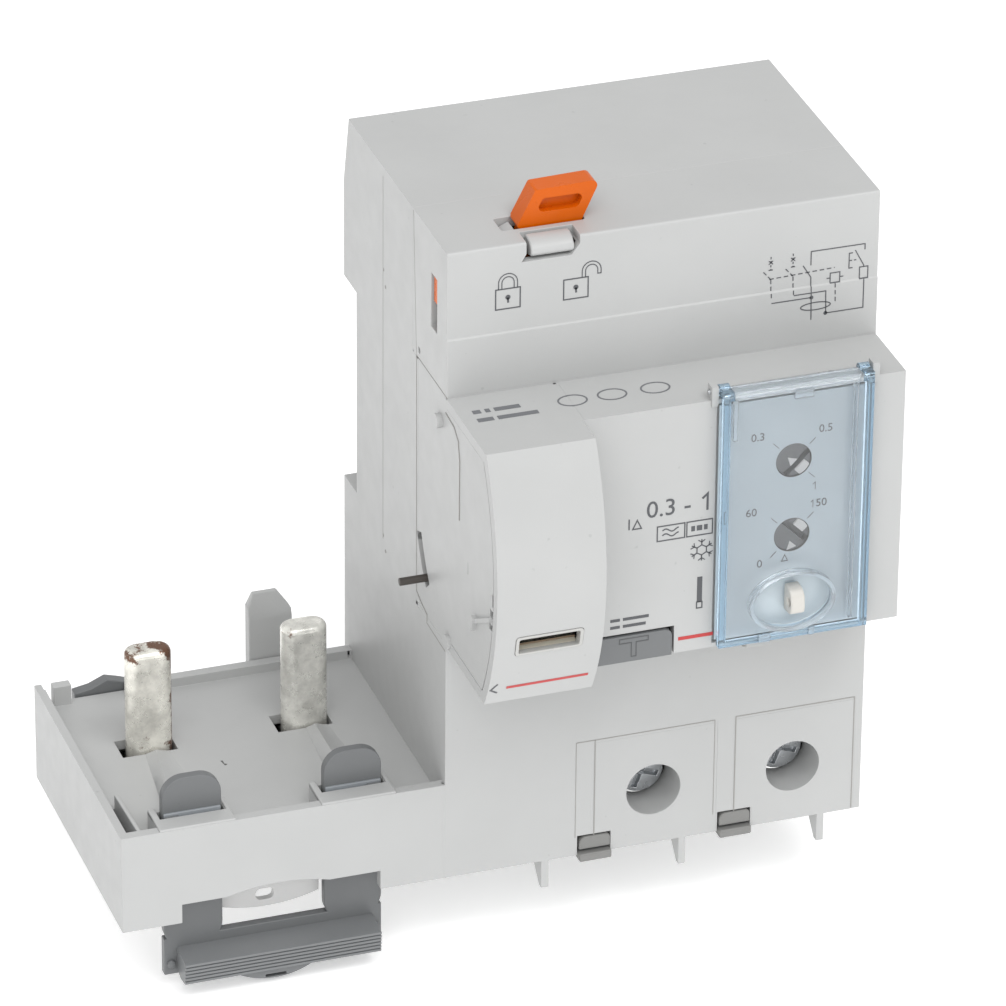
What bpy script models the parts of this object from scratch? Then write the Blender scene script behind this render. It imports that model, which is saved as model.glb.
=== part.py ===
"""Add-on residual current device for a two-pole circuit breaker, on a 35 mm mounting rail.

Lengths are millimetres and become metres where a mesh is made (MM). X runs along the rail, -Y is the
front and +Z is up. The origin lies on the rail seat, on the rail's and the main body's centre line.
"""

from math import atan2, cos, hypot, pi, radians, sin

import bmesh
import bpy
from mathutils import Matrix, Vector

MM = 0.001
GAP = 0.3  # clearance between pieces that touch
WALL = 1.8

# Driving dimensions
MODULE = 17.8
HALF = 2 * MODULE  # the body is four modules wide
SHOULDER_Y = -46.0
NOSE_Y = -59.0
BACK_Y = 6.6
BOTTOM_Z = -65.0
TOP_Z = 47.2
NOSE_TOP = 22.1
SHELF_Z = -22.5  # top of the lower shoulder, under the nose
SEAM_Y = -31.0  # where the front covers meet the main housing
UPPER_SEAM_Y = -29.0
RAIL_TOP, RAIL_BOTTOM = 18.0, -18.6
NOSE_SPLIT_X = -17.8  # the left module of the nose carries the coupling cover
BOW_RADIUS, BOW_Y = 44.0, -26.9  # curved front of the coupling cover
RUNNING = 0.08  # radial clearance of a shaft in its bearing

TRAY_LEFT, TRAY_RIGHT = -89.3, -HALF - GAP
TRAY_TOP, DECK_Z, TRAY_BACK = -47.6, -51.2, 4.5
BLADE_RIGHTS = (-71.4, -45.2)
BLADE_WIDTH, BLADE_FRONT, BLADE_BACK, BLADE_TOP = 7.6, -15.8, -11.2, -33.0
STRAP_BOTTOMS = (-62.6, -58.4)
STRAP_THICK = 1.8
STRAP_ENDS = (16.5, 9.0)
LATCH_X, LATCH_Y = (-81.3, -44.9), (-41.8, -40.2)
LATCH_POSTS = ((LATCH_X[0], -71.5), (-54.5, LATCH_X[1]))
TONGUE_TOP, TONGUE_R = -40.8, 3.6
TRAY_SCREWS, TRAY_SCREW_Y = (-83.5, -41.0), -20.0

TERMINAL_X = (-0.2, 23.7)
TERMINAL_COVERS = ((-10.3, 10.3), (13.7, 34.1))
TERMINAL_COVER_TOP, TERMINAL_COVER_BACK = -44.4, -27.0
TERMINAL_Z, SCREW_R, SCREW_HEAD_R, SCREW_FRONT = -55.0, 2.5, 3.9, -39.6
BAR_Y = (-30.8, -29.3)
WIRE_HALF = 5.5  # half the width of the wire entries

TOROID_X, TOROID_Y = 10.5, -13.0
RELAY_X, RELAY_Y, PLUNGER_R = -23.0, -18.0, 1.5
TRIP_PIVOT = (-55.0, -0.5)  # (Y, Z) of the trip lever's axle
TRIP_PIN = (-35.8, -15.15)
KNOB_X, KNOB_ZS, KNOB_R, KNOB_SHAFT_R = 17.2, (9.3, -4.0), 2.85, 1.1
COVER_X = (4.6, 29.5)
COVER_HINGE = (-58.4, 23.4)  # (Y, Z) of the settings cover's hinge pin
SEAL_HOLE = (16.8, -14.7)  # (X, Z) of the oval opening round the sealing lug
WINDOW_X, WINDOW_Z = (-32.2, -21.1), (-11.6, -8.3)
LEVER_PIVOT = (-19.7, 38.0)  # (X, Z) of the lock lever
LEVER_Y = (-40.5, -37.0)
PIVOT_R, HINGE_PIN_R = 1.2, 0.38
BUTTON_X, BUTTON_Z = (-14.4, -2.5), (-22.2, -17.5)

COLOURS = {
    "housing": ((0.62, 0.62, 0.60), 0.5, 0.0),
    "white_plastic": ((0.80, 0.80, 0.78), 0.5, 0.0),
    "grey_plastic": ((0.17, 0.19, 0.20), 0.5, 0.0),
    "tab_grey": ((0.27, 0.27, 0.26), 0.5, 0.0),
    "orange_plastic": ((0.78, 0.14, 0.02), 0.45, 0.0),
    "clear_plastic": ((0.75, 0.87, 0.95), 0.1, 0.0),
    "pale_plate": ((0.55, 0.66, 0.74), 0.5, 0.0),
    "dark_pin": ((0.05, 0.04, 0.035), 0.4, 0.0),
    "tinned_copper": ((0.62, 0.58, 0.50), 0.35, 1.0),
    "zinc_steel": ((0.55, 0.56, 0.58), 0.3, 1.0),
    "ferrite": ((0.06, 0.06, 0.065), 0.6, 0.0),
    "enamelled_wire": ((0.45, 0.16, 0.05), 0.35, 0.8),
    "board_green": ((0.03, 0.16, 0.07), 0.45, 0.0),
    "component_black": ((0.03, 0.03, 0.03), 0.5, 0.0),
}


def new_collection(name):
    collection = bpy.data.collections.new(name)
    bpy.context.scene.collection.children.link(collection)
    return collection


def make_material(name):
    colour, roughness, metallic = COLOURS[name]
    material = bpy.data.materials.new(name)
    material.use_nodes = True
    shader = material.node_tree.nodes["Principled BSDF"]
    shader.inputs["Base Color"].default_value = (*colour, 1)
    shader.inputs["Roughness"].default_value = roughness
    shader.inputs["Metallic"].default_value = metallic
    return material


def place(shape, name, kind, origin=(0, 0, 0)):
    """Turns a bmesh in millimetres into an object. A kind of None makes it a cutter or an operand."""
    bmesh.ops.recalc_face_normals(shape, faces=shape.faces)
    bmesh.ops.translate(shape, verts=shape.verts, vec=-Vector(origin))
    bmesh.ops.scale(shape, verts=shape.verts, vec=(MM, MM, MM))
    mesh = bpy.data.meshes.new(name)
    shape.to_mesh(mesh)
    shape.free()
    mesh.shade_smooth()
    mesh.set_sharp_from_angle(angle=radians(35))
    item = bpy.data.objects.new(name, mesh)
    item.location = Vector(origin) * MM
    if kind is None:
        cutters.objects.link(item)
        item.hide_render = True
        item.display_type = "WIRE"
    else:
        parts.objects.link(item)
        mesh.materials.append(materials[kind])
    return item


def box(name, kind, x, y, z, origin=(0, 0, 0)):
    shape = bmesh.new()
    bmesh.ops.create_cube(shape, size=1)
    size = (x[1] - x[0], y[1] - y[0], z[1] - z[0])
    centre = ((x[0] + x[1]) / 2, (y[0] + y[1]) / 2, (z[0] + z[1]) / 2)
    bmesh.ops.scale(shape, verts=shape.verts, vec=size)
    bmesh.ops.translate(shape, verts=shape.verts, vec=centre)
    return place(shape, name, kind, origin)


def prism(name, kind, axis, outline, start, end, origin=(0, 0, 0)):
    """A flat outline, given along the two other axes in X, Y, Z order, extruded along axis."""
    across = ["XYZ".index(letter) for letter in "XYZ" if letter != axis]
    along = "XYZ".index(axis)
    shape = bmesh.new()
    corners = []
    for u, v in outline:
        point = [0, 0, 0]
        point[across[0]], point[across[1]], point[along] = u, v, start
        corners.append(shape.verts.new(point))
    face = shape.faces.new(corners)
    grown = bmesh.ops.extrude_face_region(shape, geom=[face])["geom"]
    push = Vector([0, 0, 0])
    push[along] = end - start
    moved = [item for item in grown if isinstance(item, bmesh.types.BMVert)]
    bmesh.ops.translate(shape, verts=moved, vec=push)
    return place(shape, name, kind, origin)


def rod(name, kind, axis, centre, radius, start, end, sides=24, tip=None, origin=(0, 0, 0)):
    """A cylinder, or a cone frustum whose end radius is tip."""
    shape = bmesh.new()
    tip = radius if tip is None else tip
    bmesh.ops.create_cone(
        shape, cap_ends=True, segments=sides, radius1=radius, radius2=tip, depth=end - start
    )
    turn = {"X": Matrix.Rotation(pi / 2, 3, "Y"), "Y": Matrix.Rotation(-pi / 2, 3, "X")}
    bmesh.ops.rotate(shape, verts=shape.verts, matrix=turn.get(axis, Matrix.Identity(3)))
    middle = list(centre)
    middle.insert("XYZ".index(axis), (start + end) / 2)
    bmesh.ops.translate(shape, verts=shape.verts, vec=middle)
    return place(shape, name, kind, origin)


def turned(name, kind, profile, centre, steps=32):
    """A closed (radius, Z) profile turned about the Z axis through centre (X, Y)."""
    shape = bmesh.new()
    ring = [shape.verts.new((r * MM, 0, z * MM)) for r, z in profile]
    for first, second in zip(ring, ring[1:] + ring[:1]):
        shape.edges.new((first, second))
    mesh = bpy.data.meshes.new(name)
    shape.to_mesh(mesh)
    shape.free()
    item = bpy.data.objects.new(name, mesh)
    item.location = (centre[0] * MM, centre[1] * MM, 0)
    parts.objects.link(item)
    mesh.materials.append(materials[kind])
    screw = item.modifiers.new("turn", "SCREW")
    screw.axis = "Z"
    screw.steps = screw.render_steps = steps
    screw.use_merge_vertices = True
    screw.merge_threshold = 0.00001
    return item


def combine(target, operation, tools):
    for tool in tools:
        step = target.modifiers.new(operation.lower(), "BOOLEAN")
        step.operation = operation
        step.object = tool
    return target


def cut(target, *tools):
    return combine(target, "DIFFERENCE", tools)


def fuse(target, *tools):
    return combine(target, "UNION", tools)


def hole(x, y, z):
    return box("hole", None, x, y, z)


def bore(axis, centre, radius, start, end, sides=24):
    return rod("bore", None, axis, centre, radius, start, end, sides)


def span(middle, half):
    return middle - half, middle + half


def arc(centre, radius, start, end, steps):
    """Points on a circle, angles in degrees, both ends included."""
    found = []
    for step in range(steps + 1):
        angle = radians(start + (end - start) * step / steps)
        found.append((centre[0] + radius * cos(angle), centre[1] + radius * sin(angle)))
    return found


def band(centre, inner, outer, start, end, steps):
    """The outline of a curved strip between two radii."""
    return arc(centre, inner, start, end, steps) + arc(centre, outer, end, start, steps)


def oval(centre, half_width, half_height, steps=28):
    found = []
    for step in range(steps):
        angle = 2 * pi * step / steps
        found.append((centre[0] + half_width * cos(angle), centre[1] + half_height * sin(angle)))
    return found


def bow_outline(back, inset, steps=16):
    """(Y, Z) outline of the coupling cover's block, shrunk by inset."""
    radius = BOW_RADIUS - inset
    top = NOSE_TOP - inset
    edge = 180 - atan2(top, (radius * radius - top * top) ** 0.5) * 180 / pi
    return [(back, top), *arc((BOW_Y, 0), radius, edge, 360 - edge, steps), (back, -top)]


# Casing

def main_housing():
    outline = [
        (SHOULDER_Y, BOTTOM_Z), (SHOULDER_Y, SHELF_Z), (SEAM_Y, SHELF_Z), (SEAM_Y, NOSE_TOP),
        (UPPER_SEAM_Y, NOSE_TOP), (UPPER_SEAM_Y, TOP_Z), (3.9, TOP_Z), (BACK_Y, 35.0),
        (BACK_Y, RAIL_TOP), (0, RAIL_TOP), (0, RAIL_BOTTOM), (BACK_Y, RAIL_BOTTOM), (BACK_Y, BOTTOM_Z),
    ]
    housing = prism("main_housing", "housing", "X", outline, -HALF, HALF)
    inside = (-HALF + WALL, HALF - WALL)
    floor = BOTTOM_Z + WALL
    cut(
        housing,
        hole(inside, (SHOULDER_Y + WALL, -WALL), (floor, SHELF_Z - WALL)),
        hole(inside, (-36, -WALL), (SHELF_Z, TOP_Z - WALL)),
        hole(inside, (-31.2, -WALL), (SHELF_Z - 3, SHELF_Z + 1)),
        hole(inside, (-3, 2.6), (RAIL_TOP + WALL, TOP_Z - WALL)),
        hole((inside[0], -12), (-3, BACK_Y - WALL), (floor, RAIL_BOTTOM - WALL)),
        hole((12, inside[1]), (-3, BACK_Y - WALL), (floor, RAIL_BOTTOM - WALL)),
        hole((-HALF - 1, -HALF + 3), (-17.5, -6), (-63, -55.4)),
        hole((-10, 10), (3.0, BACK_Y + 1), (BOTTOM_Z - 1, -17)),
        hole((-10, 10), (1.1, BACK_Y + 1), (-24, -17)),
    )
    for left, right in TERMINAL_COVERS:
        cut(
            housing,
            hole(
                (left - GAP, right + GAP),
                (SHOULDER_Y - 1, TERMINAL_COVER_BACK + GAP),
                (BOTTOM_Z - 1, TERMINAL_COVER_TOP + GAP),
            ),
            hole((left - 2.8, left + 1), (SHOULDER_Y - 1, -43.2), (BOTTOM_Z - 1, -61.4)),
        )
    for x in TERMINAL_X:
        cut(housing, hole(span(x, WIRE_HALF), (-28, -24.0), (BOTTOM_Z - 1, floor + 1)))
    for x, z in CASE_SCREWS:
        cut(housing, bore("Y", (x, z), 1.4, -2, BACK_Y + 1), bore("Y", (x, z), 2.5, 5.6, BACK_Y + 1))
    fin = prism("fin", None, "X", FIN, -19.2, -17.9)
    return fuse(housing, fin)


CASE_SCREWS = [(-30, 28), (30, 28), (-30, -58), (30, -58)]
FIN = [(-46, -64.2), (-46, -70.0), (-44.9, -70.0), (-39.4, -64.2)]


def case_screws():
    for index, (x, z) in enumerate(CASE_SCREWS, 1):
        screw = rod(f"case_screw_{index}", "zinc_steel", "Y", (x, z), 2.2, 5.9, 6.5)
        shank = rod("shank", None, "Y", (x, z), 1.1, 0.5, 6.1)
        fuse(screw, shank)
        cut(screw, hole(span(x, 1.7), (6.2, 7), span(z, 0.3)))


def upper_cover():
    cover = box(
        "upper_cover", "housing", (-HALF, HALF), (SHOULDER_Y, UPPER_SEAM_Y - GAP),
        (NOSE_TOP + GAP, TOP_Z),
    )
    return cut(
        cover,
        hole((-HALF + WALL, HALF - WALL), (SHOULDER_Y + WALL, -28), (24.2, TOP_Z - WALL)),
        hole((-25.3, -11.2), (LEVER_Y[0] - 0.4, LEVER_Y[1] + 0.4), (44, TOP_Z + 1)),
        hole((-22.9, -14.2), (SHOULDER_Y - 1, -42.0), (43.9, TOP_Z + 1)),
        hole((-HALF - 1, -HALF + 3), (-41.0, -38.0), (31.0, 40.3)),
    )


def catch_tongue():
    outline = [
        (-42.3, 43.2), (-42.3, 47.0), (-43.6, 47.0), (-45.7, 45.7), (-45.7, 44.5), (-44.3, 44.3),
        (-43.6, 43.2),
    ]
    return prism("catch_tongue", "white_plastic", "X", outline, -21.9, -15.0)


def lock_lever():
    """Handle, stem and the arm whose tip shows in the slot of the left wall."""
    x, z = LEVER_PIVOT
    outline = [
        (-19.4, 53.1), (-22.1, 48.3), (-21.3, 47.1), (-22.4, 42.8), (-25.0, 39.8), (-35.2, 39.8),
        (-35.2, 35.5), (-25.0, 35.5), (-22.5, 33.8), (-16.6, 33.8), (-14.6, 38.0), (-12.7, 46.6),
        (-11.9, 47.9), (-9.9, 53.1),
    ]
    lever = prism("lock_lever", "orange_plastic", "Y", outline, *LEVER_Y, origin=(x, LEVER_Y[0], z))
    window = [(-18.9, 51.5), (-12.0, 51.5), (-12.9, 49.3), (-19.9, 49.3)]
    return cut(
        lever,
        bore("Y", (x, z), PIVOT_R + RUNNING, LEVER_Y[0] - 1, LEVER_Y[1] + 1, 20),
        prism("recess", None, "Y", window, LEVER_Y[0] - 1, LEVER_Y[0] + 1.2),
        hole((-40, -32.5), (-38.4, LEVER_Y[1] + 1), (30, 45)),
    )


def lock_pivot():
    x, z = LEVER_PIVOT
    return rod("lock_pivot", "zinc_steel", "Y", (x, z), PIVOT_R, -43.9, -33.5, 20)


def nose_cover():
    """The right three modules of the nose, with openings for the button and the settings."""
    top, left = NOSE_TOP, NOSE_SPLIT_X + GAP
    cover = box("nose_cover", "housing", (left, HALF), (NOSE_Y, SEAM_Y - GAP), (-top, top))
    ears = []
    for x in (3.2, 29.9):
        ears.append(box("ear", None, (x, x + 1.1), (-59.4, -57.4), (top - 1, 24.5)))
    fuse(cover, *ears)
    inner = top - WALL
    cut(
        cover,
        hole((left + WALL, HALF - WALL), (NOSE_Y + WALL, -30), (-inner, inner)),
        hole((BUTTON_X[0] - 0.4, BUTTON_X[1] + 0.4), (-60, -52.5), (-top - 1, BUTTON_Z[1] + 0.4)),
        hole((COVER_X[0] - 0.4, COVER_X[1] + 0.4), (-60, NOSE_Y + 0.9), (-21.4, 21.4)),
        bore("X", COVER_HINGE, HINGE_PIN_R + RUNNING, 2, 32, 16),
    )
    for z in KNOB_ZS:
        cut(cover, bore("Y", (KNOB_X, z), KNOB_R + 0.3, -60, -56))
    return cover


def side_plate():
    """Left wall of the nose, behind the coupling cover, with the trip pin's curved slot."""
    across = (-HALF, -HALF + 1.6)
    outline = bow_outline(SEAM_Y - GAP, WALL + GAP)
    plate = prism("side_plate", "housing", "X", outline, *across)
    foot = (SHELF_Z + GAP, NOSE_TOP)
    fuse(plate, box("root", None, across, (SHOULDER_Y, SEAM_Y - GAP), foot))
    reach = hypot(TRIP_PIN[0] - TRIP_PIVOT[0], TRIP_PIN[1] - TRIP_PIVOT[1])
    low = atan2(TRIP_PIN[1] - TRIP_PIVOT[1], TRIP_PIN[0] - TRIP_PIVOT[0]) * 180 / pi
    slot = band(TRIP_PIVOT, reach - 1.2, reach + 1.2, low - 3, low + 17.5, 6)
    return cut(plate, prism("slot", None, "X", slot, -HALF - 1, -HALF + 3))


def coupling_cover():
    """Curved front cover of the left nose module, open at both sides and at the back."""
    ends = (-HALF, NOSE_SPLIT_X)
    cover = prism("coupling_cover", "housing", "X", bow_outline(SHOULDER_Y - GAP, 0), *ends)
    inside = prism("inside", None, "X", bow_outline(-40, WALL), ends[0] - 1, ends[1] + 1)
    window = hole((WINDOW_X[0], WINDOW_X[1]), (-73, -66), WINDOW_Z)
    return cut(cover, inside, window)


def indicator_window():
    low, high = WINDOW_Z[0] + GAP, WINDOW_Z[1] - GAP
    outline = []
    for z, inset in ((low, 0.3), (high, 0.3), (high, 1.6), (low, 1.6)):
        outline.append((BOW_Y - ((BOW_RADIUS - inset) ** 2 - z * z) ** 0.5, z))
    return prism(
        "indicator_window", "clear_plastic", "X", outline, WINDOW_X[0] + GAP, WINDOW_X[1] - GAP
    )


def trip_lever():
    """Hub, arm and the pin that couples it to the breaker's own trip bar."""
    y, z = TRIP_PIVOT
    angle = atan2(TRIP_PIN[1] - z, TRIP_PIN[0] - y) * 180 / pi
    outline = arc(TRIP_PIVOT, 3.0, angle + 60, angle + 300, 10)
    outline += arc(TRIP_PIN, 1.9, angle - 80, angle + 80, 6)
    origin = (-33.2, y, z)
    lever = prism("trip_lever", "dark_pin", "X", outline, -33.2, -31.2, origin)
    hub = rod("hub", None, "X", TRIP_PIVOT, 2.6, -31.5, -24.5, 20)
    pin = rod("pin", None, "X", TRIP_PIN, 0.65, -40.0, -31.6, 16)
    fuse(lever, hub, pin)
    return cut(lever, bore("X", TRIP_PIVOT, PIVOT_R + RUNNING, -34, -24, 20))


def trip_flag():
    """A curved flag behind the window, on an arm that swings about the trip axle."""
    origin = (-26, *TRIP_PIVOT)
    face = band(TRIP_PIVOT, 13.0, 14.2, 190, 222, 6)
    flag = prism("trip_flag", "white_plastic", "X", face, -32, -21.5, origin)
    turn = radians(206)
    outline = []
    for along, across in ((0, -1.0), (0, 1.0), (13.5, 1.0), (13.5, -1.0)):
        outline.append((
            TRIP_PIVOT[0] + along * cos(turn) - across * sin(turn),
            TRIP_PIVOT[1] + along * sin(turn) + across * cos(turn),
        ))
    fuse(
        flag,
        prism("web", None, "X", outline, -24.0, -22.6),
        rod("hub", None, "X", TRIP_PIVOT, 2.6, -24.2, -21.5, 20),
    )
    return cut(flag, bore("X", TRIP_PIVOT, PIVOT_R + RUNNING, -25, -21, 20))


def trip_axle():
    return rod("trip_axle", "zinc_steel", "X", TRIP_PIVOT, PIVOT_R, -33.7, NOSE_SPLIT_X, 20)


# Settings and test button

def settings_plate():
    plate = box(
        "settings_plate", "pale_plate", (COVER_X[0], COVER_X[1]),
        (NOSE_Y + 0.15, NOSE_Y + 0.6), (-21.1, 21.1),
    )
    for z in KNOB_ZS:
        cut(plate, bore("Y", (KNOB_X, z), KNOB_R + 0.3, -60, -56))
    return plate


def settings_cover():
    """Clear flap hinged along its top edge, with a collared oval opening round the sealing lug."""
    y, z = COVER_HINGE
    low, high = COVER_X
    origin = ((low + high) / 2, y, z)
    cover = box("settings_cover", "clear_plastic", COVER_X, (-61.2, -60.0), (-21.3, 23.8), origin)
    fuse(
        cover,
        box("rib", None, (low, low + 1.3), (-61.1, -59.35), (-21.2, 22.6)),
        box("rib", None, (high - 1.3, high), (-61.1, -59.35), (-21.2, 22.6)),
        box("flange", None, (low, high), (-61.1, -58.4), (22.9, 24.0)),
        rod("barrel", None, "X", COVER_HINGE, 0.95, low, high, 16),
        prism("collar", None, "Y", oval(SEAL_HOLE, 7.3, 5.4), -61.7, -60.5),
    )
    return cut(
        cover,
        bore("X", COVER_HINGE, HINGE_PIN_R + RUNNING, 2, 32, 16),
        prism("opening", None, "Y", oval(SEAL_HOLE, 6.5, 4.6), -63, -59),
    )


def cover_hinge_pin():
    return rod("cover_hinge_pin", "zinc_steel", "X", COVER_HINGE, HINGE_PIN_R, 2.9, 31.3, 16)


def sealing_lug():
    lug = box("sealing_lug", "white_plastic", (16.1, 18.5), (-63.4, -59.2), (-17.6, -12.0))
    return cut(lug, bore("X", (-62.3, -14.8), 0.7, 15, 20, 12))


def selector(name, z, aim):
    """A slotted knob on a shaft that turns in its trimmer."""
    centre = (KNOB_X, z)
    knob = rod(name, "tab_grey", "Y", centre, KNOB_R, -59.3, -55.4, 28, origin=(KNOB_X, -59.3, z))
    fuse(knob, rod("shaft", None, "Y", centre, KNOB_SHAFT_R, -55.6, -51.0, 16))
    # The driver slot lies across the arrow, which points along aim.
    turn = radians(aim + 90)
    long, wide = 2.3, 0.5
    slot = []
    for u, v in ((long, wide), (-long, wide), (-long, -wide), (long, -wide)):
        slot.append((KNOB_X + u * cos(turn) - v * sin(turn), z + u * sin(turn) + v * cos(turn)))
    return cut(knob, prism("slot", None, "Y", slot, -60, -58.2))


def trimmer(name, z):
    body = box(name, "component_black", span(KNOB_X, 3.6), (-54.6, -49.9), span(z, 3.6))
    return cut(body, bore("Y", (KNOB_X, z), KNOB_SHAFT_R + RUNNING, -56, -50.6, 16))


def test_button():
    button = box("test_button", "grey_plastic", BUTTON_X, (-59.3, -54.5), BUTTON_Z)
    x = (BUTTON_X[0] + BUTTON_X[1]) / 2
    return fuse(button, box("stem", None, (x - 2, x + 1), (-54.7, -52.4), (-19.9, -18.3)))


def test_spring():
    """A coil of four turns between the button and its seat."""
    turns, points, radius = 4, 12, 1.1
    curve = bpy.data.curves.new("test_spring", "CURVE")
    curve.dimensions = "3D"
    curve.bevel_depth = 0.2 * MM
    curve.bevel_resolution = 1
    curve.use_fill_caps = True
    spline = curve.splines.new("POLY")
    spline.points.add(turns * points)
    for step in range(turns * points + 1):
        angle = 2 * pi * step / points
        y = -54.0 + 2.4 * step / (turns * points)
        x = -5.0 + radius * cos(angle)
        z = -18.7 + radius * sin(angle)
        spline.points[step].co = (x * MM, y * MM, z * MM, 1)
    item = bpy.data.objects.new("test_spring", curve)
    parts.objects.link(item)
    curve.materials.append(materials["zinc_steel"])
    return item


# Electronics

def electronics():
    box("circuit_board", "board_green", (-13, 33), (-49.6, -48.0), (-19.5, 19.5))
    box("test_contact", "tinned_copper", (-13, -8.6), (-50.7, -50.0), (-19.2, -14))
    trimmer("current_trimmer", KNOB_ZS[0])
    trimmer("delay_trimmer", KNOB_ZS[1])
    rod("test_resistor", "component_black", "X", (-52.0, 6.0), 1.6, -11, -2, 16)
    rod("filter_capacitor", "component_black", "Y", (4.0, 13.0), 3.4, -56.0, -49.9)
    rod("delay_capacitor", "component_black", "Y", (4.0, -13.0), 2.6, -55.0, -49.9)


def toroid():
    centre = (TOROID_X, TOROID_Y)
    case = [
        (10.8, -22), (10.8, -40), (7.2, -40), (7.2, -22), (8.0, -22), (8.0, -39), (10.0, -39),
        (10.0, -22),
    ]
    turned("toroid_case", "white_plastic", case, centre)
    for name, kind, radii, heights in (
        ("toroid_core", "ferrite", (8.4, 9.6), (-38.6, -28)),
        ("secondary_winding", "enamelled_wire", (8.3, 9.7), (-27.6, -22.6)),
        ("toroid_lid", "white_plastic", (7.2, 10.8), (-21.7, -20.7)),
    ):
        (inner, outer), (low, high) = radii, heights
        turned(name, kind, [(outer, high), (outer, low), (inner, low), (inner, high)], centre)


def relay():
    body = box("trip_relay", "component_black", span(RELAY_X, 7), span(RELAY_Y, 9), (-18, 2))
    cut(body, bore("Z", (RELAY_X, RELAY_Y), PLUNGER_R + RUNNING, -5, 3))
    plunger = rod("relay_plunger", "zinc_steel", "Z", (RELAY_X, RELAY_Y), PLUNGER_R, -4.4, 5.0)
    fuse(plunger, rod("head", None, "Z", (RELAY_X, RELAY_Y), 2.4, 4.0, 5.2))


# Current path

def input_blade(index):
    """A blade that enters the breaker's terminal, with its strap under the tray's deck."""
    right = BLADE_RIGHTS[index]
    low = STRAP_BOTTOMS[index]
    left = right - BLADE_WIDTH
    top = [
        (left, BLADE_TOP - 1.6), (left + 1.0, BLADE_TOP - 0.3), (left + 2.4, BLADE_TOP),
        (right - 2.4, BLADE_TOP), (right - 1.0, BLADE_TOP - 0.3), (right, BLADE_TOP - 1.6),
    ]
    outline = [(left, low), *top, (right, low + STRAP_THICK), (STRAP_ENDS[index], low + STRAP_THICK)]
    outline.append((STRAP_ENDS[index], low))
    return prism(
        f"input_blade_{index + 1}", "tinned_copper", "Y", outline, BLADE_FRONT, BLADE_BACK
    )


def terminal_bar(index, terminal):
    """From the strap up through the toroid, forward over it and down into the terminal cage."""
    right = STRAP_ENDS[index]
    riser = (right - 4.5, right)
    x = TERMINAL_X[terminal]
    low = STRAP_BOTTOMS[index] + STRAP_THICK + GAP
    name = f"terminal_bar_{terminal + 1}"
    bar = box(name, "tinned_copper", riser, (-15.4, -11.6), (low, -16))
    drop = (x - 2.5, x + 2.5)
    return fuse(
        bar,
        box("over", None, riser, (BAR_Y[0], -11.6), (-18, -16)),
        box("lateral", None, (min(drop[0], riser[0]), max(drop[1], riser[1])), BAR_Y, (-21, -16)),
        box("drop", None, drop, BAR_Y, (-60, -17)),
    )


def terminal(index):
    """The terminal's cover, its seal tab, the rising cage and the cross-slotted screw."""
    number = index + 1
    terminal_cover(index, number)
    left = TERMINAL_COVERS[index][0]
    tab_x = (left - 2.5, left + 2.8)
    box(f"terminal_tab_{number}", "tab_grey", tab_x, (-46.4, -43.5), (-66, -61.7))
    x = TERMINAL_X[index]
    centre = (x, TERMINAL_Z)
    cage = box(f"terminal_cage_{number}", "zinc_steel", span(x, 6), (-35, -22.8), (-61, -49))
    cut(
        cage,
        hole(span(x, 4.8), (-32.6, -24.8), (-62, -48)),
        bore("Y", centre, SCREW_R + RUNNING, -36, -32),
    )
    origin = (x, SCREW_FRONT, TERMINAL_Z)
    screw = rod(
        f"terminal_screw_{number}", "zinc_steel", "Y", centre, SCREW_HEAD_R, SCREW_FRONT,
        SCREW_FRONT + 2.0, 28, origin=origin,
    )
    fuse(screw, rod("shank", None, "Y", centre, SCREW_R, SCREW_FRONT + 1.8, -31.1))
    cross = (SCREW_FRONT - 1, SCREW_FRONT + 1.0)
    cut(
        screw,
        hole(span(x, 3.2), cross, span(TERMINAL_Z, 0.5)),
        hole(span(x, 0.5), cross, span(TERMINAL_Z, 3.2)),
    )


def terminal_cover(index, number):
    x = TERMINAL_X[index]
    left, right = TERMINAL_COVERS[index]
    top, back = TERMINAL_COVER_TOP, TERMINAL_COVER_BACK
    name = f"terminal_cover_{number}"
    cover = box(name, "housing", (left, right), (SHOULDER_Y, back), (BOTTOM_Z, top))
    inside = (left + WALL, right - WALL)
    cut(
        cover,
        hole(inside, (SHOULDER_Y + WALL, back + 1), (BOTTOM_Z + 1.5, top - 1.5)),
        bore("Y", (x, TERMINAL_Z), 4.6, SHOULDER_Y - 1, SHOULDER_Y + 3, 36),
        hole(span(x, WIRE_HALF), (-33, back + 1), (BOTTOM_Z - 1, BOTTOM_Z + 2)),
        hole(span(x, 3.2), (BAR_Y[0] - 0.6, back + 1), (top - 3, top + 1)),
        hole((left - 1, left + 3.1), (SHOULDER_Y - 1, -43.2), (BOTTOM_Z - 1, -61.4)),
    )
    fin_left = (left + right) / 2 + 4.3
    fuse(cover, prism("fin", None, "X", FIN, fin_left, fin_left + 1.2))


# Tray under the breaker

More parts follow.
